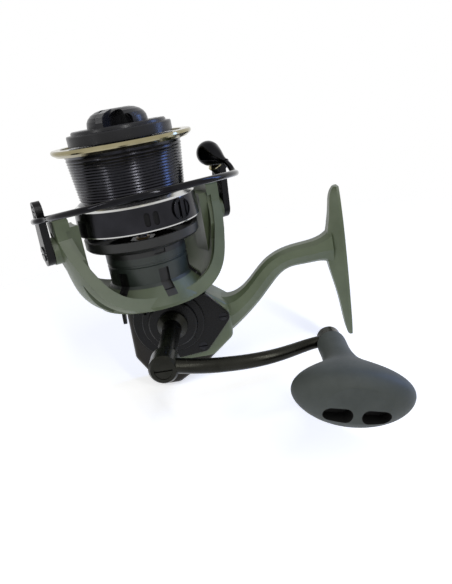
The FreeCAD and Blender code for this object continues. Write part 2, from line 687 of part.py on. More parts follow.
def belt(circles, put):
    """The outline round a convex chain of circles, each (a, b, radius), taken anticlockwise."""
    normals = []
    count = len(circles)
    for index in range(count):
        a1, b1, r1 = circles[index]
        a2, b2, r2 = circles[(index + 1) % count]
        length = math.hypot(a2 - a1, b2 - b1)
        heading = math.atan2(b2 - b1, a2 - a1)
        normals.append(heading - math.pi / 2 + math.asin((r1 - r2) / length))

    def touch(circle, angle):
        a, b, radius = circle
        return put(a + radius * math.cos(angle), b + radius * math.sin(angle))

    start = touch(circles[0], normals[0])
    moves = []
    for index in range(1, count + 1):
        circle = circles[index % count]
        arrive = normals[index - 1]
        turn = (normals[index % count] - arrive) % (2 * math.pi)
        moves.append(touch(circle, arrive))
        moves.append((touch(circle, arrive + turn / 2), touch(circle, arrive + turn)))
    edges = []
    here = start
    for move in moves:
        if isinstance(move[0], tuple):
            edges.append(Part.Arc(vec(*here), vec(*move[0]), vec(*move[1])).toShape())
            here = move[1]
        else:
            edges.append(Part.LineSegment(vec(*here), vec(*move)).toShape())
            here = move
    return Part.Wire(edges)


def skinned(sections):
    """A smooth skin through sections, each a list of corners in the same order."""
    wires = []
    for corners in sections:
        points = [vec(*corner) for corner in corners]
        wires.append(Part.makePolygon(points + points[:1]))
    return Part.makeLoft(wires, True, False)


def front_plane(a, b):
    """A point of an outline drawn in X and Z, for a slab that is extruded along Y."""
    return (a, 0.0, b)


def side_plane(a, b):
    """A point of an outline drawn in Y and Z, for a slab that is extruded along X."""
    return (0.0, a, b)


def slab_y(circles, low, high):
    return slab(belt(circles, front_plane), vec(0, low, 0), vec(0, high - low, 0))


def rounded(shape, low, high, radius):
    """Round the edges that lie in the two planes y = low and y = high."""
    edges = []
    for edge in shape.Edges:
        limits = edge.BoundBox
        for plane in (low, high):
            if abs(limits.YMin - plane) < 0.01 and abs(limits.YMax - plane) < 0.01:
                edges.append(edge)
    return shape.makeFillet(radius, edges)


# Gear case: a flat box round the drive gear, the neck that the rotor turns round, the stem and the foot

case_low = -dim.case_front
case_high = dim.case_back
middle = -dim.lip_to_handle
rear = middle - 31.0
CASE_EDGE = 3.2
CASE_CORNERS = [
    (-10.6, middle + 6.6, 4.4), (-11.4, middle - 17.1, 4.4), (-3.2, rear - 0.4, 4.6), (3.4, rear, 5.0),
    (19.8, middle - 22.0, 4.4), (31.9, middle - 12.3, 4.4), (32.6, middle + 0.6, 4.4),
    (23.8, middle + 7.6, 4.4)]


def case_outline(inward):
    return [(a, b, radius - inward) for a, b, radius in CASE_CORNERS]


def case_block(inward):
    """The case's outside, moved inward all round by a distance."""
    block = slab_y(case_outline(inward), case_low + inward, case_high - inward)
    return rounded(block, case_low + inward, case_high - inward, CASE_EDGE - inward)


outside = case_block(0)
under_guard = case_block(dim.guard_thickness)
guard_corners = [(-30, middle + 8.2), (-6, middle + 8.2), (-6, middle - 13), (6, middle - 22.4),
                 (30, middle - 22.4), (30, middle - 60), (-30, middle - 60)]
guard_space = slab(drawn((-30, 0, middle + 8.2), [(a, 0, b) for a, b in guard_corners[1:]]),
                   vec(0, -40, 0), vec(0, 80, 0))
guard = outside.cut(under_guard).common(guard_space)
shaped("belly_guard", guard)

shoulder_cone = spun([
    (0, dim.base_bottom - 3.2), (15, dim.base_bottom - 3.2), (dim.neck_radius + 9, dim.base_bottom - 1.0),
    (dim.neck_radius + 9, dim.base_bottom), (dim.neck_radius + 1.4, dim.bearing_bottom + 0.5),
    (dim.neck_radius, dim.bearing_bottom + 0.5), (dim.neck_radius, dim.neck_top), (0, dim.neck_top)])
casting = outside.fuse(shoulder_cone).cut(guard)

# The far bearing's boss
boss_back = dim.case_back + 4.0
far_boss = Part.makeCylinder(dim.drive_bearing_radius + 2.6, boss_back - 5.0,
                             vec(dim.handle_offset, 5.0, middle),
                             vec(0, 1, 0))
casting = casting.fuse(far_boss)


def stem_section(top, bottom, half):
    """A ten-sided section from a top to a bottom point, with a ridge along each side."""
    corners = []
    outline = [(0.0, 0.4), (0.14, 0.84), (0.5, 1.0), (0.86, 0.66), (1.0, 0.3)]
    for share, wide in outline:
        corners.append((top[0] + share * (bottom[0] - top[0]), -wide * half,
                        top[1] + share * (bottom[1] - top[1])))
    for share, wide in reversed(outline):
        corners.append((top[0] + share * (bottom[0] - top[0]), wide * half,
                        top[1] + share * (bottom[1] - top[1])))
    return corners


reach = dim.seat_to_spool
stem_path = [
    ((25.0, middle + 10.0), (25.0, middle - 17.6), 9.4),
    ((34.6, middle + 5.4), (34.2, middle - 14.6), 9.0),
    ((41.6, middle + 6.2), (43.2, middle - 8.2), 7.6),
    ((reach - 48.1, middle + 12.5), (reach - 44.6, middle + 0.8), 6.4),
    ((reach - 39.6, middle + 20.4), (reach - 35.6, middle + 10.2), 6.1),
    ((reach - 31.0, middle + 24.4), (reach - 28.4, middle + 14.8), 6.2),
    ((reach - 23.0, middle + 25.8), (reach - 22.0, middle + 15.5), 6.4),
    ((reach - 14.4, middle + 26.8), (reach - 14.0, middle + 15.8), 6.7),
    ((reach - 6.0, middle + 31.5), (reach - 6.0, middle + 11.5), 7.0)]
stem = skinned([stem_section(*station) for station in stem_path])

foot_low = -dim.lip_to_handle - 26.4
foot_high = foot_low + dim.foot_length
foot_half = dim.foot_width / 2
# Each station is a share of the length from the rear tip, the depth under the seat and a share of the width
FOOT_STATIONS = [
    (0.0, 1.9, 0.40), (0.06, 2.9, 0.60), (0.18, 4.0, 0.78), (0.34, 5.9, 0.92), (0.5, 8.4, 1.0),
    (0.64, 8.8, 1.0),
    (0.76, 7.0, 0.95), (0.88, 5.4, 0.78), (0.97, 4.0, 0.56), (1.0, 2.4, 0.42)]
# The foot is cast a little proud of its seat, and the seat is then milled flat
rough = reach + 0.3
foot_sections = []
for share, depth, wide in FOOT_STATIONS:
    height = foot_low + share * dim.foot_length
    half = wide * foot_half
    foot_sections.append([
        (rough, -half, height), (reach - 1.2, -half, height), (reach - depth, -0.5 * half, height),
        (reach - depth, 0.5 * half, height), (reach - 1.2, half, height), (rough, half, height)])
milled = box((reach, -dim.foot_width, foot_low - 1), (reach + 2, dim.foot_width, foot_high + 1))
foot = skinned(foot_sections).cut(milled)
casting = casting.fuse(stem).fuse(foot)

# Space inside for the gears and the slider
CAVITY_FRONT = -8.0
CAVITY_BACK = 8.4
hollow = slab_y(case_outline(dim.case_wall + dim.guard_thickness), CAVITY_FRONT, CAVITY_BACK)
hollow = hollow.common(box((-40, -40, middle - 60), (27.4, 40, middle + 9.0)))
pinion_space = box((worm_x - worm_pitch - 1.1, WORM_Y - worm_pitch - 1.0, middle + 6.0),
                   (5.2, 4.6, dim.cavity_top))
gear_space = Part.makeCylinder(dim.gear_radius + 0.3, CAVITY_BACK - 2.2, vec(dim.handle_offset, 2.2, middle),
                               vec(0, 1, 0))
SCREWS = [(33.0, middle - 1.4), (20.4, middle - 15.6), (-4.2, middle + 8.8)]
screw_bosses = []
for a, b in SCREWS[1:]:
    screw_bosses.append(Part.makeCylinder(2.4, 3.2, vec(a, CAVITY_FRONT - 1, b), vec(0, 1, 0)))
lower_boss = screw_bosses[0]
hollow = hollow.cut(lower_boss)

# Ribs that hold the pinion's rear bush, the worm shaft's end and the slider's guide
rib_low = dim.teeth_bottom - 3.1
rib = box((-14, -9, rib_low), (5.4, 2.6, dim.teeth_bottom - 0.1))
rib = rib.cut(cylinder(BUSH_OUTER + dim.fit_gap, rib_low - 1, dim.teeth_bottom + 1))
rib = rib.cut(cylinder(1.6 + dim.loose_gap, rib_low - 1, dim.teeth_bottom + 1, worm_x, WORM_Y))
guide_rib = box((-14, -9, rib_low - 2.4), (1.2, GUIDE[1] + 1.8, rib_low))
guide_rib = guide_rib.cut(cylinder(dim.shaft_radius + 1.5, rib_low - 3, rib_low + 1))
guide_rib = guide_rib.cut(cylinder(WORM_RADIUS + dim.loose_gap, rib_low - 3, rib_low + 1, worm_x, WORM_Y))
foot_rib_high = worm_low - 0.2
foot_rib = box((-14, -9, foot_rib_high - 2.4), (worm_x + 3.2, 1.2, foot_rib_high))
foot_rib = foot_rib.fuse(box((-14, -9, foot_rib_high - 2.4), (1.2, GUIDE[1] + 1.8, foot_rib_high)))
hollow = hollow.cut([rib, guide_rib, foot_rib])
pinion_space = pinion_space.cut([rib, guide_rib])

LID = [(dim.handle_offset, middle, 20.2), (20.6, middle - 15.4, 3.6), (32.6, middle - 1.9, 3.6),
       (25.4, middle + 9.4, 2.4)]
lid_top = dim.base_bottom - 1.0
opening = Part.makeCylinder(19.0, CAVITY_FRONT + 1 - case_low, vec(dim.handle_offset, case_low - 1, middle),
                            vec(0, 1, 0))
opening = opening.common(box((-40, -40, middle - 40), (40, 40, lid_top - 1.6)))
opening = opening.cut([lower_boss, screw_bosses[1]])
lid_space = box((-40, -40, middle - 40), (28, case_low, lid_top))
casting = casting.cut([hollow, pinion_space, gear_space, opening, lid_space])

# Bores for the clutch, the bearings, the rod and the screws
casting = casting.cut(cylinder(dim.clutch_radius + dim.fit_gap, dim.clutch_bottom, dim.neck_top + 1))
casting = casting.cut(cylinder(dim.pinion_bearing_radius + dim.fit_gap, dim.bearing_bottom + 0.1,
                               dim.neck_top))
casting = casting.cut(cylinder(dim.pinion_radius + 1.2, dim.cavity_top - 1, dim.neck_top))
casting = casting.cut(cylinder(1.6 + dim.running_gap, foot_rib_high - 2.2, worm_top + 0.05, worm_x, WORM_Y))
casting = casting.cut(cylinder(GUIDE_RADIUS + dim.fit_gap, guide_low, guide_high, *GUIDE))
casting = casting.cut(screw_bores)
casting = casting.cut(Part.makeCylinder(dim.drive_bearing_radius + dim.fit_gap, boss_back - 4.0,
                                        vec(dim.handle_offset, 8.1, middle), vec(0, 1, 0)))
cover_screws = []
for a, b in SCREWS:
    bore = Part.makeCylinder(1.2 + dim.fit_gap, 5.2, vec(a, case_low - 0.1, b), vec(0, 1, 0))
    casting = casting.cut(bore)
    shank = Part.makeCylinder(1.2, 6.2, vec(a, case_low - 1.2, b), vec(0, 1, 0))
    head = Part.makeCylinder(2.2, 1.2, vec(a, case_low - dim.cover_thickness, b), vec(0, 1, 0))
    slot = box((a - 2.4, case_low - dim.cover_thickness - 1, b - 0.3),
               (a + 2.4, case_low - dim.cover_thickness + 0.6, b + 0.3))
    cover_screws.append(shank.fuse(head).cut(slot))
shaped("gear_case", casting)
shaped("cover_screws", Part.makeCompound(cover_screws))

# Side cover with the near bearing's stepped boss
lid = slab_y(LID, case_low - dim.cover_thickness, case_low)
outer_edge = rounded(lid, case_low - dim.cover_thickness, case_low - dim.cover_thickness, 0.8)
lid_boss = spun([
    (0, 0), (15.5, 0), (15.5, 1.2), (15.0, 1.7), (12.4, 1.9), (12.0, 3.4), (11.4, 4.0), (9.0, 4.2), (0, 4.2)])
lid_boss.rotate(vec(0, 0, 0), vec(1, 0, 0), 90)
lid_boss.translate(vec(dim.handle_offset, case_low - dim.cover_thickness, middle))
lid = outer_edge.fuse(lid_boss)
lid = lid.common(box((-60, -60, middle - 60), (60, 60, lid_top)))
lid_face = dim.case_front + dim.cover_thickness + 4.2
lid = lid.cut(Part.makeCylinder(dim.drive_bearing_radius + dim.fit_gap, bearing_out - dim.case_front + 1,
                                vec(dim.handle_offset, -bearing_out, middle), vec(0, 1, 0)))
lid = lid.cut(Part.makeCylinder(5.2, 8, vec(dim.handle_offset, -lid_face - 1, middle), vec(0, 1, 0)))
for a, b in SCREWS:
    lid = lid.cut(Part.makeCylinder(1.3, 4, vec(a, case_low - 3, b), vec(0, 1, 0)))
    lid = lid.cut(Part.makeCylinder(2.3, 3, vec(a, case_low - 4.2, b), vec(0, 1, 0)))
shaped("side_cover", lid)

turned("shaft_cap", [
    ("0", "-case_back - 6.4"), ("drive_bearing_radius - 0.6", "-case_back - 6.4"),
    ("drive_bearing_radius + 0.8", "-case_back - 5.4"), ("drive_bearing_radius + 0.8", "-case_back - 4"),
    ("drive_bearing_radius - fit_gap", "-case_back - 4"),
    ("drive_bearing_radius - fit_gap", "-case_back - 2.1"),
    ("drive_bearing_radius - 1.6", "-case_back - 2.1"), ("drive_bearing_radius - 1.6", "-case_back - 4.6"),
    ("0", "-case_back - 4.6")], on_handle_axis)

# Lever on the belly that frees the one-way clutch
lever_spot = (-15.2, -3.0, middle + 6.6)
switch = Part.makeCylinder(1.5, 3.0, vec(lever_spot[0], lever_spot[1], lever_spot[2]), vec(-1, 0, 0))
switch_ends = [(lever_spot[1] - 2.0, lever_spot[2] - 5.6, 1.2), (lever_spot[1], lever_spot[2], 2.0)]
switch_arm = slab(belt(switch_ends,
                       side_plane), vec(lever_spot[0] - 3.2, 0, 0), vec(1.6, 0, 0))
shaped("anti_reverse_lever", switch.fuse(switch_arm))


# Rotor: a cup on the pinion, with a bowl-shaped frame whose front and back rims rise to the two arms

bore = dim.pinion_radius - 0.6 + dim.fit_gap
collar = dim.collar_radius
cup = spun([
    (bore, dim.web_bottom), (dim.collar_inside, dim.web_bottom), (dim.collar_inside, dim.flare_top - 1.0),
    (dim.base_radius - 2.0, dim.base_bottom + 0.6), (dim.base_radius - 2.0, dim.base_bottom),
    (dim.base_radius, dim.base_bottom), (dim.base_radius, dim.base_bottom + 1.6), (collar, dim.flare_top),
    (collar, dim.web_bottom - 2.7), (collar - 0.5, dim.web_bottom - 2.4),
    (collar - 0.5, dim.web_bottom - 1.5),
    (collar, dim.web_bottom - 1.2), (collar, dim.rim_top - 7.6), (collar + 0.5, dim.rim_top - 6.8),
    (dim.rim_radius - 0.8, dim.rim_top - dim.band_height - 0.9),
    (dim.rim_radius, dim.rim_top - dim.band_height),
    (dim.rim_radius, dim.rim_top), (dim.rim_radius - dim.rim_wall, dim.rim_top),
    (dim.rim_radius - dim.rim_wall, dim.rim_top - 3.4), (collar - 1.5, dim.web_top + 3.4),
    (collar - 1.5, dim.web_top),
    (bore, dim.web_top)])

# Radius and drop of the bowl's outside, from the arms' tops to the base
arm_top = dim.shoulder - 1.5
BOWL = [(0.0, 0.0), (0.1, -8.5), (0.9, -18.5), (2.6, -28.5), (4.9, -38.5), (7.6, -43.8), (10.8, -47.4)]
bowl_points = [(dim.arm_radius - inset, arm_top + drop) for inset, drop in BOWL]
bowl_points.append((dim.base_radius, dim.base_bottom))


def sunk(points, depth, growth):
    """The points of a curve moved inward, square to it, and a little further at each next point."""
    moved = []
    for index, (radius, height) in enumerate(points):
        before = points[max(index - 1, 0)]
        after = points[min(index + 1, len(points) - 1)]
        along = (after[0] - before[0], after[1] - before[1])
        share = (depth + growth * index) / math.hypot(*along)
        moved.append((radius + share * along[1], height - share * along[0]))
    return moved


def bowl(outer, inner, growth=0.0):
    """The part of the bowl's wall between two depths under its outside."""
    edges = []
    for depth, more in ((outer, 0.0), (inner, growth)):
        curve = Part.BSplineCurve()
        curve.interpolate([vec(radius, 0, height) for radius, height in sunk(bowl_points, depth, more)])
        edges.append(curve.toShape())
    ends = []
    for edge in edges:
        ends.append((edge.valueAt(edge.FirstParameter), edge.valueAt(edge.LastParameter)))
    top = Part.LineSegment(ends[0][0], ends[1][0]).toShape()
    bottom = Part.LineSegment(ends[0][1], ends[1][1]).toShape()
    face = Part.Face(Part.Wire(Part.__sortEdges__([edges[0], bottom, edges[1], top])))
    return face.revolve(vec(0, 0, 0), vec(0, 0, 1), 360)


def wedge(inward):
    """The space between the front and back hoops' planes, which are parallel down to a knee, then spread."""
    top = dim.arm_half_width - inward
    rim = [(top - 2.2, arm_top + 0.2), (top, arm_top - 2.0), (top, arm_top - 10.5),
           (dim.hoop_half_width - inward, dim.base_bottom - 0.1)]
    corners = [(0, a, b) for a, b in rim] + [(0, -a, b) for a, b in reversed(rim)]
    return slab(drawn(corners[0], corners[1:]), vec(-60, 0, 0), vec(120, 0, 0))


# Between the hoops each arm has a panel outside and a liner inside, and a floor joins them to the cup
ARM_PANEL = 11.5
whole = wedge(0)
inner = wedge(dim.hoop_thickness)
hoops = bowl(0, dim.hoop_width, 0.3).common(whole.cut(inner))
floor = bowl(dim.hoop_width - 1.2, dim.arm_thickness).common(inner)
panel = bowl(0.6, dim.arm_thickness).common(wedge(1.0))
panel = panel.common(box((-60, -ARM_PANEL, dim.base_bottom), (60, ARM_PANEL, arm_top)))
head = bowl(0, dim.arm_thickness).common(whole).common(box((-60, -60, arm_top - 7), (60, 60, arm_top + 1)))
liner_radius = dim.skirt_radius + 1.8
liner = spun([(liner_radius, arm_top - 36), (dim.arm_radius - 5.6, arm_top - 36),
              (dim.arm_radius - 5.6, arm_top - 5.5), (liner_radius, arm_top - 5.5)])
liner = liner.common(box((-60, -6.4, arm_top - 60), (60, 6.4, arm_top)))
pivot_height = -dim.pivot_depth
PIVOT_OUT = dim.arm_radius + 1.7
bosses = []
for side in (-1, 1):
    bosses.append(Part.makeCylinder(6.4, PIVOT_OUT - 36.0, vec(side * 36.0, 0, pivot_height),
                                    vec(side, 0, 0)))
rotor = cup.fuse([hoops, floor, panel, head, liner] + bosses)
inside = spun([
    (0, dim.base_bottom - 1), (dim.base_radius - 2.0, dim.base_bottom - 1),
    (dim.base_radius - 2.0, dim.base_bottom + 0.6), (dim.collar_inside, dim.flare_top - 1.0),
    (dim.collar_inside, dim.web_bottom), (0, dim.web_bottom)])
rotor = rotor.cut(inside)

POCKETS = 6
POCKET_WIDTH = 5.0
pocket_ring = spun([
    (dim.collar_inside + 0.8, dim.web_bottom - 4.6), (collar + 4, dim.web_bottom - 4.6),
    (collar + 8, dim.flare_top - 3.4),
    (collar + 1.6, dim.flare_top - 3.4), (dim.collar_inside + 0.8, dim.flare_top - 0.4)])
for index in range(POCKETS):
    bar = box((0, -POCKET_WIDTH / 2, dim.flare_top - 6), (collar + 10, POCKET_WIDTH / 2, dim.web_bottom))
    bar.rotate(vec(0, 0, 0), vec(0, 0, 1), 90 + 360 * index / POCKETS)
    rotor = rotor.cut(pocket_ring.common(bar))
notch = box((-2.8, -collar - 2, dim.rim_top - 9.6), (2.8, -collar + 0.9, dim.rim_top - 7.6))
rotor = rotor.cut(notch)

SCREW_RADIUS = 2.0
spring_low = vec(dim.arm_radius - 7.5, 0, arm_top - 35.5)
spring_high = vec(dim.arm_radius - 5.0, 0, arm_top - 23.5)
spring_line = spring_high.sub(spring_low)
for side in (-1, 1):
    rotor = rotor.cut(Part.makeCylinder(SCREW_RADIUS + dim.fit_gap, 12, vec(side * 35, 0, pivot_height),
                                        vec(side, 0, 0)))
rotor = rotor.cut(Part.makeCylinder(2.0, spring_line.Length, spring_low, spring_line))
rotor = rotor.cut(cylinder(0.9, dim.web_top - 2.5, dim.web_top + 1, 9.6, 0))
shaped("rotor", rotor, on_rotor)
spring = Part.makeCylinder(1.9, spring_line.Length - 0.4, spring_low.add(spring_line * 0.015), spring_line)
spring = spring.cut(Part.makeCylinder(1.1, spring_line.Length + 2, spring_low.sub(spring_line * 0.1),
                                      spring_line))
shaped("bail_spring", spring, on_rotor)

cover = bowl(-1.6, 0.58).common(slab(belt([
    (-5.0, arm_top - 26.0, 3.2), (-6.0, arm_top - 41.0, 3.2), (6.0, arm_top - 41.0, 3.2),
    (5.0, arm_top - 26.0, 3.2)],
    side_plane), vec(20, 0, 0), vec(40, 0, 0)))
shaped("roller_arm_cover", cover, on_rotor)

screws = []
LEVER_IN = PIVOT_OUT + 0.3
lever_out = LEVER_IN + dim.lever_thickness
for side in (-1, 1):
    pin = Part.makeCylinder(SCREW_RADIUS, lever_out - 36.5, vec(side * 36.0, 0, pivot_height),
                            vec(side, 0, 0))
    head = Part.makeCylinder(3.4, 1.6, vec(side * (lever_out - 1.0), 0, pivot_height), vec(side, 0, 0))
    head = head.cut(box((side * lever_out + (0 if side > 0 else -1), -4, pivot_height - 0.4),
                        (side * lever_out + (1 if side > 0 else 0), 4, pivot_height + 0.4)))
    screws.append(pin.fuse(head))
shaped("pivot_screws", Part.makeCompound(screws), on_rotor)

nut_points = []
for index in range(6):
    angle = math.pi * index / 3
    nut_points.append((6.6 * math.cos(angle), 6.6 * math.sin(angle), 0.0))
nut = slab(drawn(nut_points[0], nut_points[1:]), vec(0, 0, dim.web_top), vec(0, 0, dim.nut_height))
shaped("rotor_nut", nut.cut(cylinder(bore, dim.web_top - 1, dim.nut_top + 1)), on_rotor)
lock = cylinder(0.9, dim.web_top - 2.4, dim.web_top + 1.0, 9.6, 0).fuse(
    cylinder(1.8, dim.web_top, dim.web_top + 1.2, 9.6, 0))
shaped("nut_lock_screw", lock, on_rotor)


# Bail: a lever on each arm, the wire, the cone and the line roller

tip_v = -0.19 * dim.lever_length
tip_z = pivot_height + 0.98 * dim.lever_length
LEVER_CIRCLES = [(tip_v, tip_z, 4.4), (0.0, pivot_height, 6.0)]


def lever_plate(side):
    low = LEVER_IN if side > 0 else -lever_out
    plate = slab(belt(LEVER_CIRCLES, side_plane), vec(low, 0, 0), vec(dim.lever_thickness, 0, 0))
    plate = plate.cut(Part.makeCylinder(SCREW_RADIUS + dim.running_gap, 20, vec(side * 40, 0, pivot_height),
                                        vec(side, 0, 0)))
    return plate.cut(Part.makeCylinder(3.4 + dim.running_gap, 4,
                                       vec(side * (lever_out - 1.05), 0, pivot_height),
                                       vec(side, 0, 0)))


slope = math.radians(dim.wire_slope)
half_span = dim.wire_span
reach = dim.wire_reach / math.cos(slope)
ARCH_START = 16.0
SIDE_RADIUS = 30.0
ARCH_END = 70.0
rise = reach - ARCH_START
crown = (half_span ** 2 + rise ** 2 - 2 * half_span * SIDE_RADIUS) / (2 * (rise - SIDE_RADIUS))
turn = math.degrees(math.asin((half_span - SIDE_RADIUS) / (crown - SIDE_RADIUS)))


def wire_point(u, ahead):
    """A point of the wire's slanted plane, ahead counting along the plane toward the front."""
    return vec(u, -ahead * math.cos(slope), -dim.wire_depth + ahead * math.sin(slope))


def arch_point(angle):
    """A point of the three-centred arch. angle runs from one side (-90) to the other (90)."""
    sweep = math.radians(angle)
    if abs(angle) <= turn:
        return wire_point(crown * math.sin(sweep), reach - crown * (1 - math.cos(sweep)))
    side = 1 if sweep > 0 else -1
    u = side * (half_span - SIDE_RADIUS) + SIDE_RADIUS * math.sin(sweep)
    return wire_point(u, ARCH_START + SIDE_RADIUS * math.cos(sweep))


def arch_arc(low, high):
    return Part.Arc(arch_point(low), arch_point((low + high) / 2), arch_point(high)).toShape()


def leaning_arc(start, way, end):
    """The arc that leaves start in the direction way and ends at end, with its own end direction."""
    chord = end.sub(start)
    along = vec(*chord).normalize()
    half = math.acos(way.dot(along)) / 2
    middle = start.add((way + along).normalize() * (chord.Length / (2 * math.cos(half))))
    return Part.Arc(start, middle, end).toShape(), (along * (2 * along.dot(way))).sub(way)


def two_arcs(start, way, end, end_way):
    """A pair of arcs that join two points smoothly, with a given direction at each."""
    gap = end.sub(start)
    both = way.add(end_way)
    spread = 2 * (1 - way.dot(end_way))
    if spread < 1e-9:
        joint = (start + end) * 0.5
    else:
        share = (-gap.dot(both) + math.sqrt(gap.dot(both) ** 2 + spread * gap.dot(gap))) / spread
        joint = (start + end + (way - end_way) * share) * 0.5
    first_arc, joint_way = leaning_arc(start, way, joint)
    return [first_arc, leaning_arc(joint, joint_way, end)[0]]


def rod_along(edge, radius):
    """A round rod along a straight line or an arc."""
    ring = Part.Wire([Part.makeCircle(radius, edge.valueAt(edge.FirstParameter),
                                      edge.tangentAt(edge.FirstParameter))])
    if isinstance(edge.Curve, Part.Line):
        return Part.Face(ring).extrude(edge.valueAt(edge.LastParameter) - edge.valueAt(edge.FirstParameter))
    sweep = math.degrees(edge.LastParameter - edge.FirstParameter)
    return Part.Face(ring).revolve(edge.Curve.Center, edge.Curve.Axis, sweep)


lever_face = lever_out + 0.5
ahead_way = wire_point(0, 1).sub(wire_point(0, 0))
wire_start = wire_point(-lever_face, 0.5)
straight_end = wire_point(-lever_face, 5.0)
arch_way = wire_point(math.cos(math.radians(ARCH_END)), -math.sin(math.radians(ARCH_END))).sub(wire_point(0,
                                                                                                          0))
TAIL_END = vec(half_span - 0.9, -15.4, -18.9)
tail_way = vec(-0.15, 0.925, 0.35).normalize()
wire_line = [Part.LineSegment(wire_start, straight_end).toShape()]
wire_line += two_arcs(straight_end, ahead_way, arch_point(-90), ahead_way)
wire_line += [arch_arc(-90, -turn), arch_arc(-turn, turn), arch_arc(turn, ARCH_END)]
wire_line += two_arcs(arch_point(ARCH_END), arch_way, TAIL_END, tail_way)
wire = Part.makeSphere(dim.wire_radius, wire_start, ahead_way * -1, 0, 90, 360)
wire = wire.fuse([rod_along(edge, dim.wire_radius) for edge in wire_line]).removeSplitter()
shaped("bail_wire", wire, on_rotor)

near_lever = lever_plate(-1).cut(wire)
dish = Part.makeCylinder(2.9, 4, vec(-lever_out + 0.8, tip_v, tip_z), vec(-1, 0, 0))
near_lever = near_lever.cut(dish)
near_lever = near_lever.cut(Part.makeCylinder(1.0, 10, vec(-lever_out - 1, tip_v, tip_z), vec(1, 0, 0)))
shaped("bail_lever", near_lever, on_rotor)
bail_screw = Part.makeCylinder(0.98, dim.lever_thickness - 0.4, vec(-lever_out + 0.6, tip_v, tip_z),
                               vec(1, 0, 0))
bail_screw = bail_screw.fuse(Part.makeCylinder(1.9, 0.8, vec(-lever_out + 0.8, tip_v, tip_z), vec(-1, 0, 0)))
bail_screw = bail_screw.cut(box((-lever_out - 1, tip_v - 2, tip_z - 0.3),
                                (-lever_out + 0.4, tip_v + 2, tip_z + 0.3)))
shaped("bail_screw", bail_screw, on_rotor)

roller_way = vec(-0.53, -0.05, 0.847)
roller_way.normalize()
roller_base = vec(LEVER_IN + 1.4, tip_v, tip_z + 1.5)
ROLLER_LOW = 0.9
ROLLER_HIGH = 4.9
CONE_LOW = 5.2


def on_roller_axis(distance):
    return roller_base.add(roller_way * distance)


def roller_cylinder(radius, low, high):
    return Part.makeCylinder(radius, high - low, on_roller_axis(low), roller_way)


pad = roller_cylinder(4.3, -2.6, 0.6)
roller_lever = lever_plate(1).cut(roller_cylinder(5.4, 0.6, 14)).fuse(pad)
roller_lever = roller_lever.cut(roller_cylinder(1.5 + dim.fit_gap, -5, 6)).cut(roller_cylinder(2.7, -6, -1.4))
shaped("roller_lever", roller_lever, on_rotor)

bulb_centre = on_roller_axis(8.2)
bulb = Part.makeSphere(6.1, bulb_centre)
tail_sections = []
TAIL = [(0.16, 5.9), (0.42, 4.7), (0.7, 3.1), (0.92, 2.0), (1.12, 1.75)]
tail_line = TAIL_END.sub(bulb_centre)
for share, radius in TAIL:
    centre = bulb_centre.add(tail_line * share)
    tail_sections.append(Part.Wire([Part.makeCircle(radius, centre, tail_line)]))
bulb = bulb.fuse(Part.makeLoft(tail_sections, True, False))
bulb = bulb.cut(roller_cylinder(5.3, -4, CONE_LOW))
half_space = Part.makeCylinder(30, 12, on_roller_axis(CONE_LOW - 12 - 2.6), roller_way)
bulb = bulb.cut(half_space)
bulb = bulb.cut(roller_cylinder(1.5 + dim.fit_gap, 3, 10))
shaped("bail_cone", bulb.cut(wire), on_rotor)

roller_screw = roller_cylinder(1.5, -2.8, 9.6).fuse(roller_cylinder(2.6, -2.8, -1.45))
shaped("roller_screw", roller_screw, on_rotor)
bush_ring = roller_cylinder(2.5, 0.65, CONE_LOW - 0.05)
shaped("roller_bush", bush_ring.cut(roller_cylinder(1.5 + dim.fit_gap, 0, 6)), on_rotor)


def roller_cone(low_radius, high_radius, low, high):
    return Part.makeCone(low_radius, high_radius, high - low, on_roller_axis(low), roller_way)


roller = roller_cylinder(4.7, ROLLER_LOW, ROLLER_LOW + 0.5)
roller = roller.fuse(roller_cone(4.7, 3.6, ROLLER_LOW + 0.5, ROLLER_LOW + 1.6))
roller = roller.fuse(roller_cone(3.6, 4.9, ROLLER_LOW + 1.6, ROLLER_HIGH - 0.5))
roller = roller.fuse(roller_cylinder(4.9, ROLLER_HIGH - 0.5, ROLLER_HIGH))
shaped("line_roller", roller.cut(roller_cylinder(2.5 + dim.running_gap, 0, 6)), on_rotor)


# Handle: the hub that screws into the drive shaft, the bent arm and the knob

hub_foot = lid_face + 0.4
turned("handle_hub", [
    ("0", "-3.5"), ("drive_shaft_radius - 1.2 - fit_gap", "-3.5"),
    ("drive_shaft_radius - 1.2 - fit_gap", f"{bearing_out + 0.05}"),
    ("drive_shaft_radius", f"{bearing_out + 0.05}"),
    ("drive_shaft_radius + 1", f"{bearing_out + 0.8}"), ("drive_shaft_radius + 1", f"{hub_foot}"),
    ("7.5", f"{hub_foot}"), ("7.4", f"{hub_foot + 1.2}"), ("6.2", f"{hub_foot + 2.6}"),
    ("drive_shaft_radius + 1.3", f"{hub_foot + 4.4}"), ("drive_shaft_radius + 0.9", f"{hub_foot + 8}"),
    ("drive_shaft_radius + 0.9", "hub_reach"), ("0", "hub_reach")], on_handle_axis)

KNUCKLE = 6.4
knuckle_high = dim.hub_reach + 13.2
knuckle = spun([
    (0, dim.hub_reach), (4.6, dim.hub_reach), (KNUCKLE - 0.5, dim.hub_reach + 1.6),
    (KNUCKLE, dim.hub_reach + 3.4),
    (KNUCKLE, knuckle_high - 1.4), (KNUCKLE - 1.0, knuckle_high), (0, knuckle_high)])
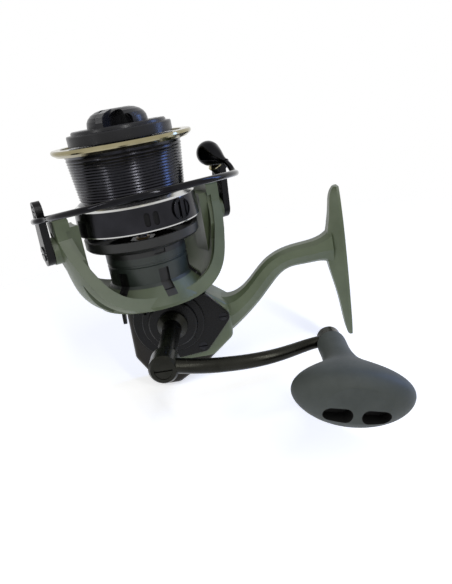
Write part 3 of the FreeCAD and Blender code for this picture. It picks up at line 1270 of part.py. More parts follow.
# Share of the arm's reach, swell out from the handle's root and radius
ARM_STATIONS = [(0.0, 0.1, 3.3), (0.12, 0.36, 3.25), (0.26, 0.78, 3.15), (0.42, 1.0, 3.05), (0.58, 0.98, 2.9),
                (0.74, 0.62, 2.65), (0.88, 0.12, 2.45), (1.0, 0.0, 2.35)]
root_height = dim.hub_reach + 6.6
arm_middles = []
for share, swell, radius in ARM_STATIONS:
    arm_middles.append(vec(share * dim.arm_reach, 0, root_height + 1.6 + swell * dim.arm_swell * 0.95))
arm_curve = Part.BSplineCurve()
arm_curve.interpolate(arm_middles)
arm_rings = []
for point, (share, swell, radius) in zip(arm_middles, ARM_STATIONS):
    way = arm_curve.tangent(arm_curve.parameter(point))[0]
    arm_rings.append(Part.Wire([Part.makeCircle(radius, point, way)]))
arm = Part.makeLoft(arm_rings, True, False)
arm_end = arm_middles[-1]
boss_low = arm_end.z - 2.9
knob_foot = arm_end.z + 3.3
arm_boss = cylinder(4.9, boss_low, knob_foot - 0.3, dim.arm_reach, 0)
arm = knuckle.fuse(arm).fuse(arm_boss)
arm = arm.cut(cylinder(2.6 + dim.fit_gap, boss_low - 5, knob_foot + 3, dim.arm_reach, 0))
cap_bed = cylinder(3.9, knuckle_high - 1.6, knuckle_high + 1)
shaped("handle_arm", arm.cut(cap_bed), on_handle_axis)
cap_plate = cylinder(3.9 - dim.fit_gap, knuckle_high - 1.6, knuckle_high - 0.3)
shaped("knuckle_cap", cap_plate.cut(box((-4, -0.5, knuckle_high - 0.9), (4, 0.5, knuckle_high + 1))),
       on_handle_axis)

knob_x = dim.arm_reach
knob_top = knob_foot + dim.knob_length
spindle_end = knob_foot + dim.knob_length * 0.72
spindle = cylinder(2.6, boss_low, knob_foot + 2, knob_x, 0).fuse(
    cylinder(2.0, knob_foot, spindle_end, knob_x, 0))
spindle = spindle.cut(cylinder(0.9, spindle_end - 7, spindle_end + 1, knob_x, 0))
shaped("knob_spindle", spindle, on_handle_axis)
knob_bearings = []
inner_low = knob_foot + 3.0
inner_high = spindle_end - 3.2
for low in (inner_low, inner_high):
    ring = cylinder(3.6, low, low + 3.0, knob_x, 0)
    knob_bearings.append(ring.cut(cylinder(2.0 + dim.running_gap, low - 1, low + 4, knob_x, 0)))
shaped("knob_bearings", Part.makeCompound(knob_bearings), on_handle_axis)
screw_head = cylinder(0.88, spindle_end - 6.5, spindle_end + 0.2, knob_x, 0).fuse(
    cylinder(3.0, spindle_end + 0.2, spindle_end + 1.4, knob_x, 0))
shaped("spindle_screw", screw_head, on_handle_axis)
core = cylinder(4.6, knob_foot + 0.3, spindle_end + 2.6, knob_x, 0)
core = core.cut(cylinder(3.6 + dim.fit_gap, inner_low, spindle_end + 2.0, knob_x, 0))
core = core.cut(cylinder(2.9, knob_foot - 1, inner_low + 1, knob_x, 0))
core = core.fuse(cylinder(3.6 + dim.fit_gap, inner_low + 3.05, inner_high - 0.05, knob_x, 0))
core = core.cut(cylinder(2.4, inner_low, inner_high, knob_x, 0))
shaped("knob_core", core, on_handle_axis)

# Share of the knob's length, half width along the bar and half thickness, both as shares of the bar
KNOB_STATIONS = [
    (0.0, 0.265, 0.515), (0.12, 0.265, 0.515), (0.25, 0.27, 0.525), (0.38, 0.316, 0.555), (0.5, 0.437, 0.63),
    (0.6, 0.65, 0.745), (0.7, 0.874, 0.875), (0.8, 0.995, 0.965), (0.88, 0.95, 0.985), (0.94, 0.82, 0.9),
    (0.98, 0.645, 0.74), (1.0, 0.5, 0.6)]
KNOB_TURN = math.radians(-14.65)
along_bar = vec(math.cos(KNOB_TURN), math.sin(KNOB_TURN), 0)
across_bar = vec(-math.sin(KNOB_TURN), math.cos(KNOB_TURN), 0)


def on_knob(along, across, height):
    """A point of the knob, from its place along and across the bar."""
    return vec(knob_x, 0, height) + along_bar * along + across_bar * across


def oval(share, wide, thick):
    """One section of the grip."""
    height = knob_foot + 0.3 + share * (dim.knob_length - 0.3)
    major = on_knob(wide * dim.knob_span / 2, 0, height)
    minor = on_knob(0, thick * dim.knob_thickness / 2, height)
    return Part.Wire([Part.Ellipse(major, minor, on_knob(0, 0, height)).toShape()])


# Two hollows open on the grip's outer face, nearer its lower edge
HOLLOW_RADIUS = 2.6
grip = Part.makeLoft([oval(*station) for station in KNOB_STATIONS], True, False)
grip = grip.cut(cylinder(4.6 + dim.fit_gap, knob_foot - 1, spindle_end + 2.62, knob_x, 0))
for middle in (-6.5, 6.5):
    hollow = slab(belt([(middle - 2.4, -4.0, HOLLOW_RADIUS), (middle + 2.4, -4.0, HOLLOW_RADIUS)],
                       lambda a, b: tuple(on_knob(a, b, 0.0))), vec(0, 0, knob_top - 6.5), vec(0, 0, 14))
    grip = grip.cut(hollow)
shaped("knob_grip", grip, on_handle_axis)


# The document is worked out, each piece is tested and the sub-parts are written

doc.recompute()
for item in doc.Objects:
    if "Invalid" in item.State or "Error" in item.State:
        raise RuntimeError(f"{item.Label} failed: {item.State}")
os.makedirs("parts", exist_ok=True)
for piece in subparts:
    if piece.Shape.isNull() or not piece.Shape.isValid():
        raise RuntimeError(f"{piece.Label} has no valid shape")
    piece.Shape.exportStep(f"parts/{piece.Label}.step")
print(len(subparts), "sub-parts written")
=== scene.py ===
import math

import bpy
import numpy as np
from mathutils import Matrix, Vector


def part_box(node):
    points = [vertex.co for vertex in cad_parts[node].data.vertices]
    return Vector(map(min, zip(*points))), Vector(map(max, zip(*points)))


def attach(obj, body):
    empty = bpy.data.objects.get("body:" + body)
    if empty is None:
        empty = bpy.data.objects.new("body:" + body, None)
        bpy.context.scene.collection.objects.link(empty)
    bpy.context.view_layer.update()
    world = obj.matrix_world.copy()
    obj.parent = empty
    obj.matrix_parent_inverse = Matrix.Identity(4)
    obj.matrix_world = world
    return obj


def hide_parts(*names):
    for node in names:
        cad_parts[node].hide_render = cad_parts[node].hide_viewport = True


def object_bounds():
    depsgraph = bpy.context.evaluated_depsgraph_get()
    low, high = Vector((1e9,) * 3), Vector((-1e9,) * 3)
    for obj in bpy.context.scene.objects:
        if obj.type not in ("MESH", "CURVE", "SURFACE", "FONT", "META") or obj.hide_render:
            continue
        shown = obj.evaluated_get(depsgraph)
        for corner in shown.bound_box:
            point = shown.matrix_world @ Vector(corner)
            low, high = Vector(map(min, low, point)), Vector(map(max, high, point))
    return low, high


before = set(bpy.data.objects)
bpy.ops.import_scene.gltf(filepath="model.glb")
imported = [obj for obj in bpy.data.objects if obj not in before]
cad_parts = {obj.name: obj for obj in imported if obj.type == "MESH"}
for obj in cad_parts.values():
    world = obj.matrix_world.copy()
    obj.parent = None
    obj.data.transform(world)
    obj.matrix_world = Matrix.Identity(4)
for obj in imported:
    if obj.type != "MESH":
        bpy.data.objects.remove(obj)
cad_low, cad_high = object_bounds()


# Gear case: the case, the stem and the foot are one die-cast piece of aluminium, powder-coated sage
# green and baked. The rod's seat clamps the foot, and everything else is mounted in or on the case.

def linear(sheet_colour):
    """An sRGB hex colour as the linear red, green, blue and alpha that a shader takes."""
    parts = [int(sheet_colour[i:i + 2], 16) / 255 for i in (1, 3, 5)]
    return [c / 12.92 if c <= 0.04045 else ((c + 0.055) / 1.055) ** 2.4 for c in parts] + [1.0]


def node(tree, kind, values=None, links=None, **settings):
    """Adds one node with its settings, its plain socket values and its links from other sockets."""
    made = tree.nodes.new(kind)
    for name, value in settings.items():
        setattr(made, name, value)
    for name, value in (values or {}).items():
        made.inputs[name].default_value = value
    for name, source in (links or {}).items():
        tree.links.new(source, made.inputs[name])
    return made


def new_finish(name, colour, metallic, roughness, ior=1.5):
    """A material with one principled shader. Gives the material, its tree, its shader and its place."""
    finish = bpy.data.materials.new(name)
    finish.use_nodes = True
    tree = finish.node_tree
    shader = tree.nodes["Principled BSDF"]
    shader.inputs["Base Color"].default_value = linear(colour)
    shader.inputs["Metallic"].default_value = metallic
    shader.inputs["Roughness"].default_value = roughness
    shader.inputs["IOR"].default_value = ior
    finish.diffuse_color = linear(colour)
    place = node(tree, "ShaderNodeTexCoord").outputs["Object"]
    return finish, tree, shader, place


def mottle(tree, shader, place, grain_mm, roughness_span, dark, pale, patch_mm):
    """
    Lets the roughness drift between two values, grain by grain, and the colour between two shades, patch
    by patch. The grain of most finishes is finer than this, and is drawn as coarse as it needs to show.
    """
    grain = node(tree, "ShaderNodeTexNoise", {"Scale": 1000 / grain_mm, "Detail": 3.0}, {"Vector": place})
    spread = node(tree, "ShaderNodeMapRange", {"To Min": roughness_span[0], "To Max": roughness_span[1]},
                  {"Value": grain.outputs["Fac"]})
    tree.links.new(spread.outputs["Result"], shader.inputs["Roughness"])
    patch = node(tree, "ShaderNodeTexNoise", {"Scale": 1000 / patch_mm, "Detail": 4.0}, {"Vector": place})
    ramp = node(tree, "ShaderNodeValToRGB", None, {"Fac": patch.outputs["Fac"]})
    for stop, position, colour in zip(ramp.color_ramp.elements, (0.35, 0.68), (dark, pale)):
        stop.position = position
        stop.color = linear(colour)
    tree.links.new(ramp.outputs["Color"], shader.inputs["Base Color"])


def relief(tree, shader, place, grain_mm, detail, depth_mm):
    """Roughens a finish with a soft noise of one grain size and depth."""
    grain = node(tree, "ShaderNodeTexNoise", {"Scale": 1000 / grain_mm, "Detail": detail}, {"Vector": place})
    bump = node(tree, "ShaderNodeBump", {"Distance": depth_mm / 1000, "Strength": 1.0},
                {"Height": grain.outputs["Fac"]})
    tree.links.new(bump.outputs["Normal"], shader.inputs["Normal"])


def wear(names, finish):
    """Gives CAD nodes a finish in place of the plain one they came with."""
    for name in names:
        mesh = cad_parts[name].data
        mesh.materials.clear()
        mesh.materials.append(finish)


def sage(name):
    """Powder coat reads as an even satin skin with a faint orange peel, a little paler where it is thick."""
    finish, tree, shader, place = new_finish(name, "#505A43", 0.0, 0.4)
    mottle(tree, shader, place, 2.5, (0.34, 0.46), "#4B553E", "#566049", 14.0)
    relief(tree, shader, place, 0.9, 2.0, 0.02)
    return finish, tree, shader, place


wear(["gear_case"], sage("sage_powder_coat")[0])


# Rotor: the cup, its collar, the two arms and their hoops are one casting of the same aluminium, coated
# like the case. Painted shade darkens its collar, and blackens its pockets and its rim under the skirt.

spool_low, spool_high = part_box("spool")
SPOOL_AXIS = (spool_low.x + spool_high.x) / 2


def about_spool(tree, place):
    """A point's distance from the spool's axis and its height, both in millimetres, as two sockets."""
    shifted = node(tree, "ShaderNodeVectorMath", {1: (SPOOL_AXIS, 0.0, 0.0)}, {0: place},
                   operation="SUBTRACT")
    flat = node(tree, "ShaderNodeVectorMath", {1: (1000.0, 1000.0, 0.0)}, {0: shifted.outputs[0]},
                operation="MULTIPLY")
    reach = node(tree, "ShaderNodeVectorMath", None, {0: flat.outputs[0]}, operation="LENGTH")
    height = node(tree, "ShaderNodeVectorMath", {1: (0.0, 0.0, 1000.0)}, {0: place}, operation="DOT_PRODUCT")
    return reach.outputs["Value"], height.outputs["Value"]


def within(tree, *spans):
    """
    A mask that is 1 where every socket lies in its span and 0 outside. A span is a socket, its low and
    high ends and half the width of their soft edges. The mask is the product of all the edges.
    """
    edges = []
    for value, low, high, soft in spans:
        for zero, one in ((low - soft, low + soft), (high + soft, high - soft)):
            edge = node(tree, "ShaderNodeMapRange", {"From Min": zero, "From Max": one}, {"Value": value})
            edges.append(edge.outputs[0])
    mask, *others = edges
    for other in others:
        mask = node(tree, "ShaderNodeMath", None, {0: mask, 1: other}, operation="MULTIPLY").outputs[0]
    return mask


def overlay(tree, shader, mask, colour):
    """Lays a colour over what the shader's base colour has, where a mask is 1."""
    base = shader.inputs["Base Color"]
    mixer = node(tree, "ShaderNodeMix", None, {0: mask, 6: base.links[0].from_socket}, data_type="RGBA")
    mixer.inputs[7].default_value = linear(colour)
    tree.links.new(mixer.outputs[2], base)


rotor_coat, tree, shader, place = sage("powder_coat_with_painted_shade")
reach, height = about_spool(tree, place)

# Reaches from the axis and heights are in millimetres. A span with no end of its own goes out FAR.
FAR = 1000.0
COLLAR_REACH, COLLAR_FOOT = 21.2, 1.9
RIM_REACH, RIM_FOOT = 30.3, 23.6
# Painted shade: the collar, in the shadow of the spool and the hoops, is painted a darker green.
collar_shade = within(tree, (reach, -FAR, COLLAR_REACH, 0.15), (height, COLLAR_FOOT, FAR, 0.3))
overlay(tree, shader, collar_shade, "#262D28")
# Painted shade: the rim, under the spool's skirt, is painted black.
rim_shade = within(tree, (reach, -FAR, RIM_REACH, 0.15), (height, RIM_FOOT, FAR, 0.2))
overlay(tree, shader, rim_shade, "#0A0B09")

# The pockets repeat round the axis, so the bearing folds into one pocket's share of the turn. The sine of
# the folded bearing times the reach is how far a point lies to the side of a pocket's middle.
POCKETS = 6
POCKET_HALF, POCKET_REACH, POCKET_FOOT, POCKET_HEAD = 2.6, 27.0, 4.2, 16.8
ROTOR_TURN = 28.6
first_pocket = math.radians(ROTOR_TURN + 90)
share = math.tau / POCKETS
shifted = node(tree, "ShaderNodeVectorMath", {1: (SPOOL_AXIS, 0.0, 0.0)}, {0: place}, operation="SUBTRACT")
apart = node(tree, "ShaderNodeSeparateXYZ", None, {0: shifted.outputs[0]}).outputs
bearing = node(tree, "ShaderNodeMath", None, {0: apart["Y"], 1: apart["X"]}, operation="ARCTAN2")
turned = node(tree, "ShaderNodeMath", {1: first_pocket}, {0: bearing.outputs[0]}, operation="SUBTRACT")
folded = node(tree, "ShaderNodeMath", {1: -share / 2, 2: share / 2}, {0: turned.outputs[0]}, operation="WRAP")
sideways = node(tree, "ShaderNodeMath", None, {0: folded.outputs[0]}, operation="SINE")
offset = node(tree, "ShaderNodeMath", None, {0: sideways.outputs[0], 1: reach}, operation="MULTIPLY")
# Painted shade: the pockets are painted black, so that they read as deep.
pocket_shade = within(tree, (offset.outputs[0], -POCKET_HALF, POCKET_HALF, 0.05), (reach, -FAR, POCKET_REACH, 0.1),
                (height, POCKET_FOOT, POCKET_HEAD, 0.1))
overlay(tree, shader, pocket_shade, "#080808")
wear(["rotor"], rotor_coat)


# Covers and levers: small castings of aluminium and zinc, stove-enamelled satin black. The side cover
# closes the gear case and carries the handle's near bearing, and the two bail levers hold the wire.

# Stove enamel gives the eye a deep black with a broad soft sheen and a fine stipple.
satin_black, tree, shader, place = new_finish("satin_stove_enamel", "#0C0C0C", 0.0, 0.28, 1.26)
mottle(tree, shader, place, 1.5, (0.22, 0.34), "#0A0A0A", "#0F0F0F", 9.0)
relief(tree, shader, place, 0.5, 2.0, 0.01)
wear(["side_cover", "shaft_cap", "anti_reverse_lever", "roller_arm_cover", "bail_lever", "roller_lever"],
     satin_black)


# Screws, shafts, bearings, washers and springs: steel. The screws that show in the covers, and the
# rotor's nut, are blackened in hot salts. The rest is bright stainless steel.

# Blackened steel is dark, with a small bright spot on each edge.
blacked, tree, shader, place = new_finish("blackened_steel", "#2A2A2C", 1.0, 0.28)
mottle(tree, shader, place, 0.6, (0.2, 0.36), "#242426", "#313133", 4.0)
wear(["cover_screws", "pivot_screws", "bail_screw", "rotor_nut"], blacked)

# Machined stainless steel is bright and a little cloudy, because the tool's marks blur what it mirrors.
steel, tree, shader, place = new_finish("machined_stainless_steel", "#B4B4B6", 1.0, 0.3)
mottle(tree, shader, place, 0.8, (0.22, 0.36), "#A9A9AC", "#BDBDBF", 6.0)
wear(["roller_screw", "retainer_screws", "spindle_screw", "nut_lock_screw", "drag_nut", "seat_pin",
      "main_shaft", "slider_guide", "worm_shaft", "knob_spindle", "washer_clip", "keyed_washers",
      "eared_washer", "click_pawl", "clutch_sleeve", "clutch_ring", "clutch_rollers", "clutch_retainer",
      "pinion_bearing", "drive_bearings", "knob_bearings", "bail_spring", "drag_spring"], steel)


# Belly guard: a shell of glossy black ABS, clipped over the case's underside to take the knocks. Its
# brown tint is a painted reflection of a wooden stand below.

# Polished moulded ABS shows clear but slightly wavy reflections.
# Painted reflection: the black and its patches are tinted brown, as a wooden stand would show in them.
guard_with_painted_reflection, tree, shader, place = new_finish("polished_abs_painted_reflection", "#17140D", 0.0, 0.14, 1.32)
mottle(tree, shader, place, 5.0, (0.1, 0.2), "#14110A", "#1C1810", 20.0)
relief(tree, shader, place, 7.0, 1.0, 0.06)
wear(["belly_guard"], guard_with_painted_reflection)


# Gears, slider and bushes: the crown gear, the slider and the spool's seat are die-cast zinc and
# machined. The pinion and its bush are brass, and the worm's gear, click wheel and small bushes acetal.

# Zinc is a dull grey metal with a soft shine.
zinc, tree, shader, place = new_finish("machined_zinc", "#9A9CA0", 1.0, 0.38)
mottle(tree, shader, place, 1.2, (0.3, 0.45), "#8F9195", "#A5A7AA", 7.0)
wear(["drive_gear", "slider", "spool_seat"], zinc)

# Brass under grease is a dull dark yellow.
brass, tree, shader, place = new_finish("greased_machined_brass", "#8F7440", 1.0, 0.36)
mottle(tree, shader, place, 0.8, (0.3, 0.42), "#84693A", "#9A7F4A", 5.0)
wear(["pinion", "pinion_bush"], brass)

# Moulded acetal is dark, even and waxy.
acetal, tree, shader, place = new_finish("moulded_acetal", "#1E1E1F", 0.0, 0.45, 1.48)
mottle(tree, shader, place, 1.0, (0.38, 0.52), "#1A1A1B", "#242425", 6.0)
wear(["worm_gear", "click_wheel", "spool_bush", "roller_bush", "knob_core"], acetal)


# Spool: turned from an aluminium forging and black anodised. Fifteen ridges on the arbor grip the line.
# The skirt's shoulder, and a line at its foot, are turned bright after anodising.

def anodised(name):
    """Black anodising over turned aluminium is nearly black, with sharp streaks of the lamps in it."""
    finish, tree, shader, place = new_finish(name, "#2B2B2E", 1.0, 0.2)
    mottle(tree, shader, place, 3.0, (0.16, 0.25), "#27272A", "#303034", 12.0)
    return finish, tree, shader, place


spool_black, tree, shader, place = anodised("black_anodised_turned_aluminium")
reach, height = about_spool(tree, place)

# The shoulder is a bevel at 45 degrees, where the reach and the height add up to SLANT or more.
SLANT, SHOULDER_FOOT, SHOULDER_HEAD = 77.4, 48.6, 51.3
FOOT_LINE_REACH, FOOT_LINE_LOW, FOOT_LINE_HIGH = 29.0, 36.8, 37.5
slant = node(tree, "ShaderNodeMath", None, {0: reach, 1: height}, operation="ADD").outputs[0]
shoulder = within(tree, (slant, SLANT, FAR, 0.1), (height, SHOULDER_FOOT, SHOULDER_HEAD, 0.1))
foot_line = within(tree, (reach, FOOT_LINE_REACH, FAR, 0.1), (height, FOOT_LINE_LOW, FOOT_LINE_HIGH, 0.1))
overlay(tree, shader, shoulder, "#C9C9C7")
overlay(tree, shader, foot_line, "#C9C9C7")
wear(["spool"], spool_black)
wear(["line_clip"], anodised("black_anodised_clip")[0])


# Slot shade: the slots beside the line clip are shallow. In each lies a thin near-black plate inside
# the skirt's wall, a dark sheet of painted shade.

def about_axis(radius, turn, height):
    """Corners at a radius, a bearing in radians and a height round the spool's axis."""
    x, y = SPOOL_AXIS + radius * np.cos(turn), radius * np.sin(turn)
    return np.stack(np.broadcast_arrays(x, y, height), axis=-1).reshape(-1, 3)


def skin(rows, next_rows):
    """Quads between rows of corners and the rows after them. Each row closes on itself."""
    ahead, next_ahead = (np.roll(block, -1, axis=1) for block in (rows, next_rows))
    return np.stack([rows, next_rows, next_ahead, ahead], axis=-1).reshape(-1, 4)


def swept_block(first, last, section):
    """
    A piece of a turned ring. The section's four corners, as radius and height pairs, are carried round
    the spool's axis from one bearing to another in degrees, and one flat face closes each end.
    """
    turn = np.radians(np.linspace(first, last, BLOCK_STEPS))[:, None]
    radius, height = np.asarray(section).T
    index = np.arange(BLOCK_STEPS * len(section)).reshape(BLOCK_STEPS, -1)
    ends = index[:1], index[-1:, ::-1]
    return about_axis(radius, turn, height), np.concatenate([skin(index[:-1], index[1:]), *ends])


def new_piece(name, blocks, finish, smooth):
    """One object from blocks of corners and quads. A block's quads count from its own first corner."""
    corners, quads = zip(*blocks)
    starts = np.cumsum([0] + [len(block) for block in corners[:-1]])
    quads = np.concatenate([block + start for block, start in zip(quads, starts)])
    mesh = bpy.data.meshes.new(name)
    mesh.from_pydata(np.concatenate(corners).tolist(), [], quads.tolist())
    mesh.polygons.foreach_set("use_smooth", np.full(len(quads), smooth))
    mesh.update()
    mesh.materials.append(finish)
    made = bpy.data.objects.new(name, mesh)
    bpy.context.scene.collection.objects.link(made)
    return made


BLOCK_STEPS = 9
SLOT_BEARINGS, SLOT_SPREAD = (-73.0, -65.0), 2.9
slot_low, slot_high = spool_low.z + 0.0021, spool_low.z + 0.0089
PLATE_BACK, PLATE_FRONT = 0.00072, 0.0005

# The wall's outer radius shrinks evenly from its foot to its head.
SKIRT_TAPER = 0.0006
skirt_radius = (spool_high.x - spool_low.x) / 2
wall_heights = (spool_low.z + 0.0007, spool_low.z + 0.0117)
wall_radii = (skirt_radius, skirt_radius - SKIRT_TAPER)
section = [(np.interp(level, wall_heights, wall_radii) - depth, level)
           for level, depth in ((slot_low, PLATE_BACK), (slot_low, PLATE_FRONT),
                                (slot_high, PLATE_FRONT), (slot_high, PLATE_BACK))]
shade_plates = [swept_block(middle - SLOT_SPREAD, middle + SLOT_SPREAD, section) for middle in SLOT_BEARINGS]

# The plates are a matt near-black with no shine, painted shade.
slot_shade_finish, tree, shader, place = new_finish("painted_slot_shade", "#070708", 0.0, 0.7, 1.3)
mottle(tree, shader, place, 0.6, (0.62, 0.78), "#050506", "#0A0A0B", 3.0)
slot_shade_plates = new_piece("slot_shade_plates", shade_plates, slot_shade_finish, False)
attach(slot_shade_plates, "spool")


# Lip ring: a separate ring of champagne anodised aluminium, pressed on to the spool and polished so
# that line slips over it. The bail's line roller has the same finish.

# Polished champagne anodising is a warm pale metal with sharp reflections.
champagne, tree, shader, place = new_finish("champagne_anodised_aluminium", "#948C6E", 1.0, 0.18)
mottle(tree, shader, place, 2.0, (0.11, 0.19), "#8D8567", "#9C9476", 9.0)
wear(["lip_ring", "line_roller"], champagne)


# Drag felts: three rings punched from pressed wool and soaked in oil. They lie between the steel
# washers and bulge a little at their rims, where the knob squeezes them.

AROUND, ACROSS = 96, 28
SQUEEZE = 0.00015
LEAST_GAP = 0.0003


def squeezed_ring(low, high, inner, outer):
    """
    One ring of felt. Its section is a superellipse of power 4, which has flat faces and rounded rims, and
    the rims stand out by the squeeze halfway up.
    """
    turn = np.linspace(0, 2 * np.pi, AROUND, endpoint=False)[:, None]
    across = np.linspace(0, 2 * np.pi, ACROSS, endpoint=False)[None, :]
    wide = np.sign(np.cos(across)) * np.abs(np.cos(across)) ** 0.5
    tall = np.sign(np.sin(across)) * np.abs(np.sin(across)) ** 0.5
    half = (outer - inner) / 2 - SQUEEZE
    radius = (inner + outer) / 2 + wide * (half + SQUEEZE * (1 - tall ** 2))
    height = (low + high) / 2 + tall * (high - low) / 2
    index = np.arange(AROUND * ACROSS).reshape(AROUND, ACROSS)
    return about_axis(radius, turn, height), skin(index, np.roll(index, -1, axis=0))


def flat_faces(name):
    """The height, least and greatest radius of each flat face of a node's rings, from the lowest up."""
    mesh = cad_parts[name].data
    spots = np.empty(len(mesh.vertices) * 3)
    mesh.vertices.foreach_get("co", spots)
    spots = spots.reshape(-1, 3)
    spots = spots[np.argsort(spots[:, 2])]
    groups = np.split(spots, np.nonzero(np.diff(spots[:, 2]) > LEAST_GAP)[0] + 1)
    reaches = [np.hypot(group[:, 0] - SPOOL_AXIS, group[:, 1]) for group in groups]
    return [(group[0, 2], reach.min(), reach.max()) for group, reach in zip(groups, reaches)]


# Oiled felt is matt and fibrous, mottled where the oil has gone in.
felt, tree, shader, place = new_finish("oiled_wool_felt", "#B9AF97", 0.0, 0.95)
mottle(tree, shader, place, 0.4, (0.9, 1.0), "#A79D85", "#C8BEA6", 2.0)
relief(tree, shader, place, 0.25, 4.0, 0.08)

faces = flat_faces("felt_washers")
rings = [squeezed_ring(lower[0], upper[0], *lower[1:]) for lower, upper in zip(faces[0::2], faces[1::2])]
felts = new_piece("squeezed_felt_washers", rings, felt, True)
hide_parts("felt_washers")
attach(felts, "spool")


# Drag knob: two mouldings of black ABS with a satin face. The grip is pressed into the dial, and a
# steel nut inside screws down the main shaft.

# Satin moulded ABS is dark, with a broad soft sheen on each step of the moulding.
knob_black, tree, shader, place = new_finish("satin_moulded_abs", "#17171A", 0.0, 0.28, 1.34)
mottle(tree, shader, place, 1.2, (0.22, 0.34), "#141417", "#1C1C20", 8.0)
wear(["drag_knob", "drag_knob_grip"], knob_black)


# Bail: a bent steel wire, and the cone that leads line to the roller, both plated in glossy black
# nickel. The wire runs from one lever to the cone, which a screw holds on the other.

# Black nickel is a dark mirror, with thin bright streaks along the wire.
plated, tree, shader, place = new_finish("black_nickel_plate", "#202022", 1.0, 0.12)
mottle(tree, shader, place, 4.0, (0.09, 0.16), "#1C1C1E", "#252527", 10.0)
wear(["bail_wire", "bail_cone"], plated)


# Handle: a forged aluminium arm with its hub and the cap on its knuckle, black anodised after a fine
# bead blast. The hub screws into the drive gear's shaft.

# Anodising over a bead blast is dark and silky, with wide soft streaks.
handle_black, tree, shader, place = new_finish("bead_blasted_black_anodising", "#272723", 1.0, 0.26)
mottle(tree, shader, place, 0.8, (0.23, 0.34), "#23231F", "#2C2C28", 8.0)
wear(["handle_hub", "handle_arm", "knuckle_cap"], handle_black)


# Knob: a soft-touch rubber grip moulded over an acetal core, which turns on the arm's spindle. Its
# outer face has two long hollows along the bar.

knob_low, knob_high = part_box("knob_grip")
KNOB_TURN = math.radians(-14.65)
HOLLOW_AT, HOLLOW_DROP, HOLLOW_RUN, HOLLOW_REACH, HOLLOW_FLOOR = 6.5, -4.0, 2.4, 2.66, -105.0

# Rubber reads dull and dark grey, with a soft bloom on its crown. The hollows are painted shade, near-black.
rubber, tree, shader, place = new_finish("soft_touch_rubber", "#3A3F3C", 0.0, 0.6, 1.42)
mottle(tree, shader, place, 1.0, (0.54, 0.68), "#353A37", "#404542", 10.0)

# A point's place along the bar, up from it and towards the arm, in millimetres.
middle = ((knob_low.x + knob_high.x) / 2, 0.0, (knob_low.z + knob_high.z) / 2)
shifted = node(tree, "ShaderNodeVectorMath", {1: middle}, {0: place}, operation="SUBTRACT").outputs[0]
ways = ((math.cos(KNOB_TURN), 0.0, math.sin(KNOB_TURN)),
        (-math.sin(KNOB_TURN), 0.0, math.cos(KNOB_TURN)), (0.0, 1.0, 0.0))
along_bar, up, inward = (
    node(tree, "ShaderNodeVectorMath", {1: tuple(1000 * part for part in way)}, {0: shifted},
         operation="DOT_PRODUCT").outputs["Value"] for way in ways)

# Both hollows fold into one, and that one into its own half. What lies beyond its straight run, and how
# far up or down it is, give the distance to the line that the hollow is cut along.
beyond = along_bar
for operation, limit in (("ABSOLUTE", 0.0), ("SUBTRACT", HOLLOW_AT), ("ABSOLUTE", 0.0),
                         ("SUBTRACT", HOLLOW_RUN), ("MAXIMUM", 0.0)):
    beyond = node(tree, "ShaderNodeMath", {1: limit}, {0: beyond}, operation=operation).outputs[0]
lower = node(tree, "ShaderNodeMath", {1: HOLLOW_DROP}, {0: up}, operation="SUBTRACT").outputs[0]
corner = node(tree, "ShaderNodeCombineXYZ", None, {"X": beyond, "Y": lower})
far = node(tree, "ShaderNodeVectorMath", None, {0: corner.outputs[0]}, operation="LENGTH").outputs["Value"]
# Painted shade: the two hollows are painted nearly black.
hollow_shade = within(tree, (far, -FAR, HOLLOW_REACH, 0.05), (inward, -FAR, HOLLOW_FLOOR, 0.15))
overlay(tree, shader, hollow_shade, "#0A0A09")
wear(["knob_grip"], rubber)


# Floor: a sheet of pale paper under the reel. It fades out into the white surroundings and keeps the
# shadow.

FLOOR_REACH, FLOOR_DROP, FLOOR_MIDDLE = 1.2, 0.002, -0.08
FADE_START, FADE_END = 0.12, 0.42
GLOW = 0.62
floor_height = cad_low.z - FLOOR_DROP
paper = bpy.data.materials.new("pale_paper")
paper.use_nodes = True
tree = paper.node_tree
tree.nodes.clear()
place = node(tree, "ShaderNodeTexCoord").outputs["Object"]
middle = node(tree, "ShaderNodeVectorMath", {1: (FLOOR_MIDDLE, 0.0, floor_height)}, {0: place},
              operation="SUBTRACT")
away = node(tree, "ShaderNodeVectorMath", None, {0: middle.outputs["Vector"]}, operation="LENGTH")
fade = node(tree, "ShaderNodeMapRange", {"From Min": FADE_START, "From Max": FADE_END},
            {"Value": away.outputs["Value"]}, interpolation_type="SMOOTHSTEP")
sheet = node(tree, "ShaderNodeBsdfDiffuse", {"Color": linear("#F2F2F2")})
glow = node(tree, "ShaderNodeEmission", {"Strength": GLOW})
both = node(tree, "ShaderNodeAddShader", None, {0: sheet.outputs[0], 1: glow.outputs[0]})
clear = node(tree, "ShaderNodeBsdfTransparent")
faded = node(tree, "ShaderNodeMixShader", None, {"Fac": fade.outputs["Result"], 1: both.outputs[0],
                                                 2: clear.outputs[0]})
node(tree, "ShaderNodeOutputMaterial", None, {"Surface": faded.outputs[0]})
square = np.array([(-FLOOR_REACH, -FLOOR_REACH, floor_height), (FLOOR_REACH, -FLOOR_REACH, floor_height),
                   (FLOOR_REACH, FLOOR_REACH, floor_height), (-FLOOR_REACH, FLOOR_REACH, floor_height)])
floor = new_piece("floor", [(square, np.array([[0, 1, 2, 3]]))], paper, False)


# Surroundings: plain white where the camera looks past the reel and in its reflections. They light the
# reel only faintly, so that the lamps give it its shape.

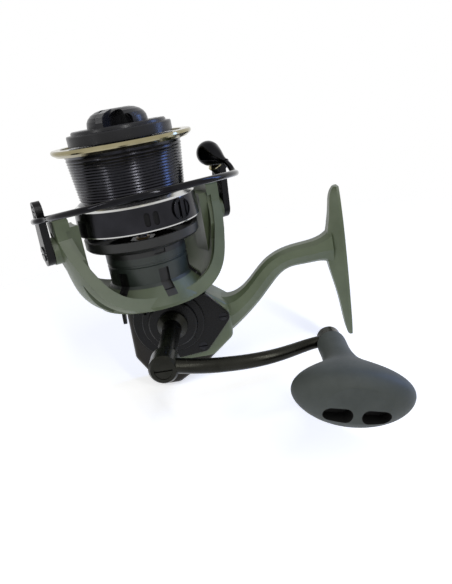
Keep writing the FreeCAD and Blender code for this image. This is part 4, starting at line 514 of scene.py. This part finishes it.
SKY_LIGHT = 0.22
world = bpy.data.worlds.new("studio")
bpy.context.scene.world = world
world.use_nodes = True
tree = world.node_tree
tree.nodes.clear()
rays = node(tree, "ShaderNodeLightPath").outputs
seen = rays["Is Camera Ray"]
for kind in ("Is Glossy Ray", "Is Transmission Ray"):
    seen = node(tree, "ShaderNodeMath", None, {0: seen, 1: rays[kind]}, operation="MAXIMUM").outputs[0]
lit = node(tree, "ShaderNodeBackground", {"Color": linear("#FFFFFF"), "Strength": SKY_LIGHT})
white = node(tree, "ShaderNodeBackground", {"Color": linear("#FFFFFF"), "Strength": 1.0})
sky = node(tree, "ShaderNodeMixShader", None, {"Fac": seen, 1: lit.outputs[0], 2: white.outputs[0]})
node(tree, "ShaderNodeOutputWorld", None, {"Surface": sky.outputs[0]})
bpy.context.scene.view_settings.view_transform = "Standard"


# Lamps: tall narrow soft boxes at the front left and the front right, and a wider cool one at the
# right. They draw the streaks on the spool, and each stands LAMP_AWAY metres from its middle.

SPOOL_MIDDLE = np.array([SPOOL_AXIS, 0.0, 0.055])
LAMP_AWAY, LAMP_TALL = 1.0, 0.8


def soft_box(name, bearing, height, width, strength, colour):
    """An area lamp at a bearing round the spool and an angle above it in degrees, turned to face it."""
    a, e = math.radians(bearing), math.radians(height)
    way = np.array([math.cos(a) * math.cos(e), math.sin(a) * math.cos(e), math.sin(e)])
    lamp = bpy.data.lights.new(name, "AREA")
    lamp.shape = "RECTANGLE"
    lamp.size = width
    lamp.size_y = LAMP_TALL
    lamp.energy = strength
    lamp.color = linear(colour)[:3]
    holder = bpy.data.objects.new(name, lamp)
    holder.location = SPOOL_MIDDLE + way * LAMP_AWAY
    holder.rotation_mode = "QUATERNION"
    holder.rotation_quaternion = Vector(-way).to_track_quat("-Z", "Y")
    bpy.context.scene.collection.objects.link(holder)


soft_box("front_left_box", -136, 28, 0.05, 2.0, "#FFFFFF")
soft_box("front_right_box", -62, 38, 0.055, 4.0, "#FFFFFF")
soft_box("right_box", 14, 20, 0.12, 4.6, "#7FA8FF")


# Camera: where the photograph was taken from, turned a little about its own line of sight. The eye's
# place is given from the middle of the lip's plane, along the camera's own right, up and back.

BEARING, LIFT, ROLL = (math.radians(x) for x in (2.7037, 19.402, -10.0546))
EYE_RIGHT, EYE_UP, EYE_BACK = 0.0491851, -0.0717818, 0.2576959
FOCAL_LENGTH, SENSOR, CLIP_START = 33.904, 36.0, 0.01
back = np.array([math.sin(BEARING) * math.cos(LIFT), -math.cos(BEARING) * math.cos(LIFT), math.sin(LIFT)])
level_right = np.array([math.cos(BEARING), math.sin(BEARING), 0.0])
level_up = np.cross(back, level_right)
right = math.cos(ROLL) * level_right + math.sin(ROLL) * level_up
up = -math.sin(ROLL) * level_right + math.cos(ROLL) * level_up
lip_middle = np.array([SPOOL_AXIS, 0.0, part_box("lip_ring")[1].z])
eye = lip_middle + EYE_RIGHT * right + EYE_UP * up + EYE_BACK * back
camera_data = bpy.data.cameras.new("camera")
camera_data.lens = FOCAL_LENGTH
camera_data.sensor_width = SENSOR
camera_data.clip_start = CLIP_START
camera = bpy.data.objects.new("camera", camera_data)
pose = np.identity(4)
pose[:3] = np.stack([right, up, back, eye], axis=1)
camera.matrix_world = Matrix(pose.tolist())
bpy.context.scene.collection.objects.link(camera)
bpy.context.scene.camera = camera
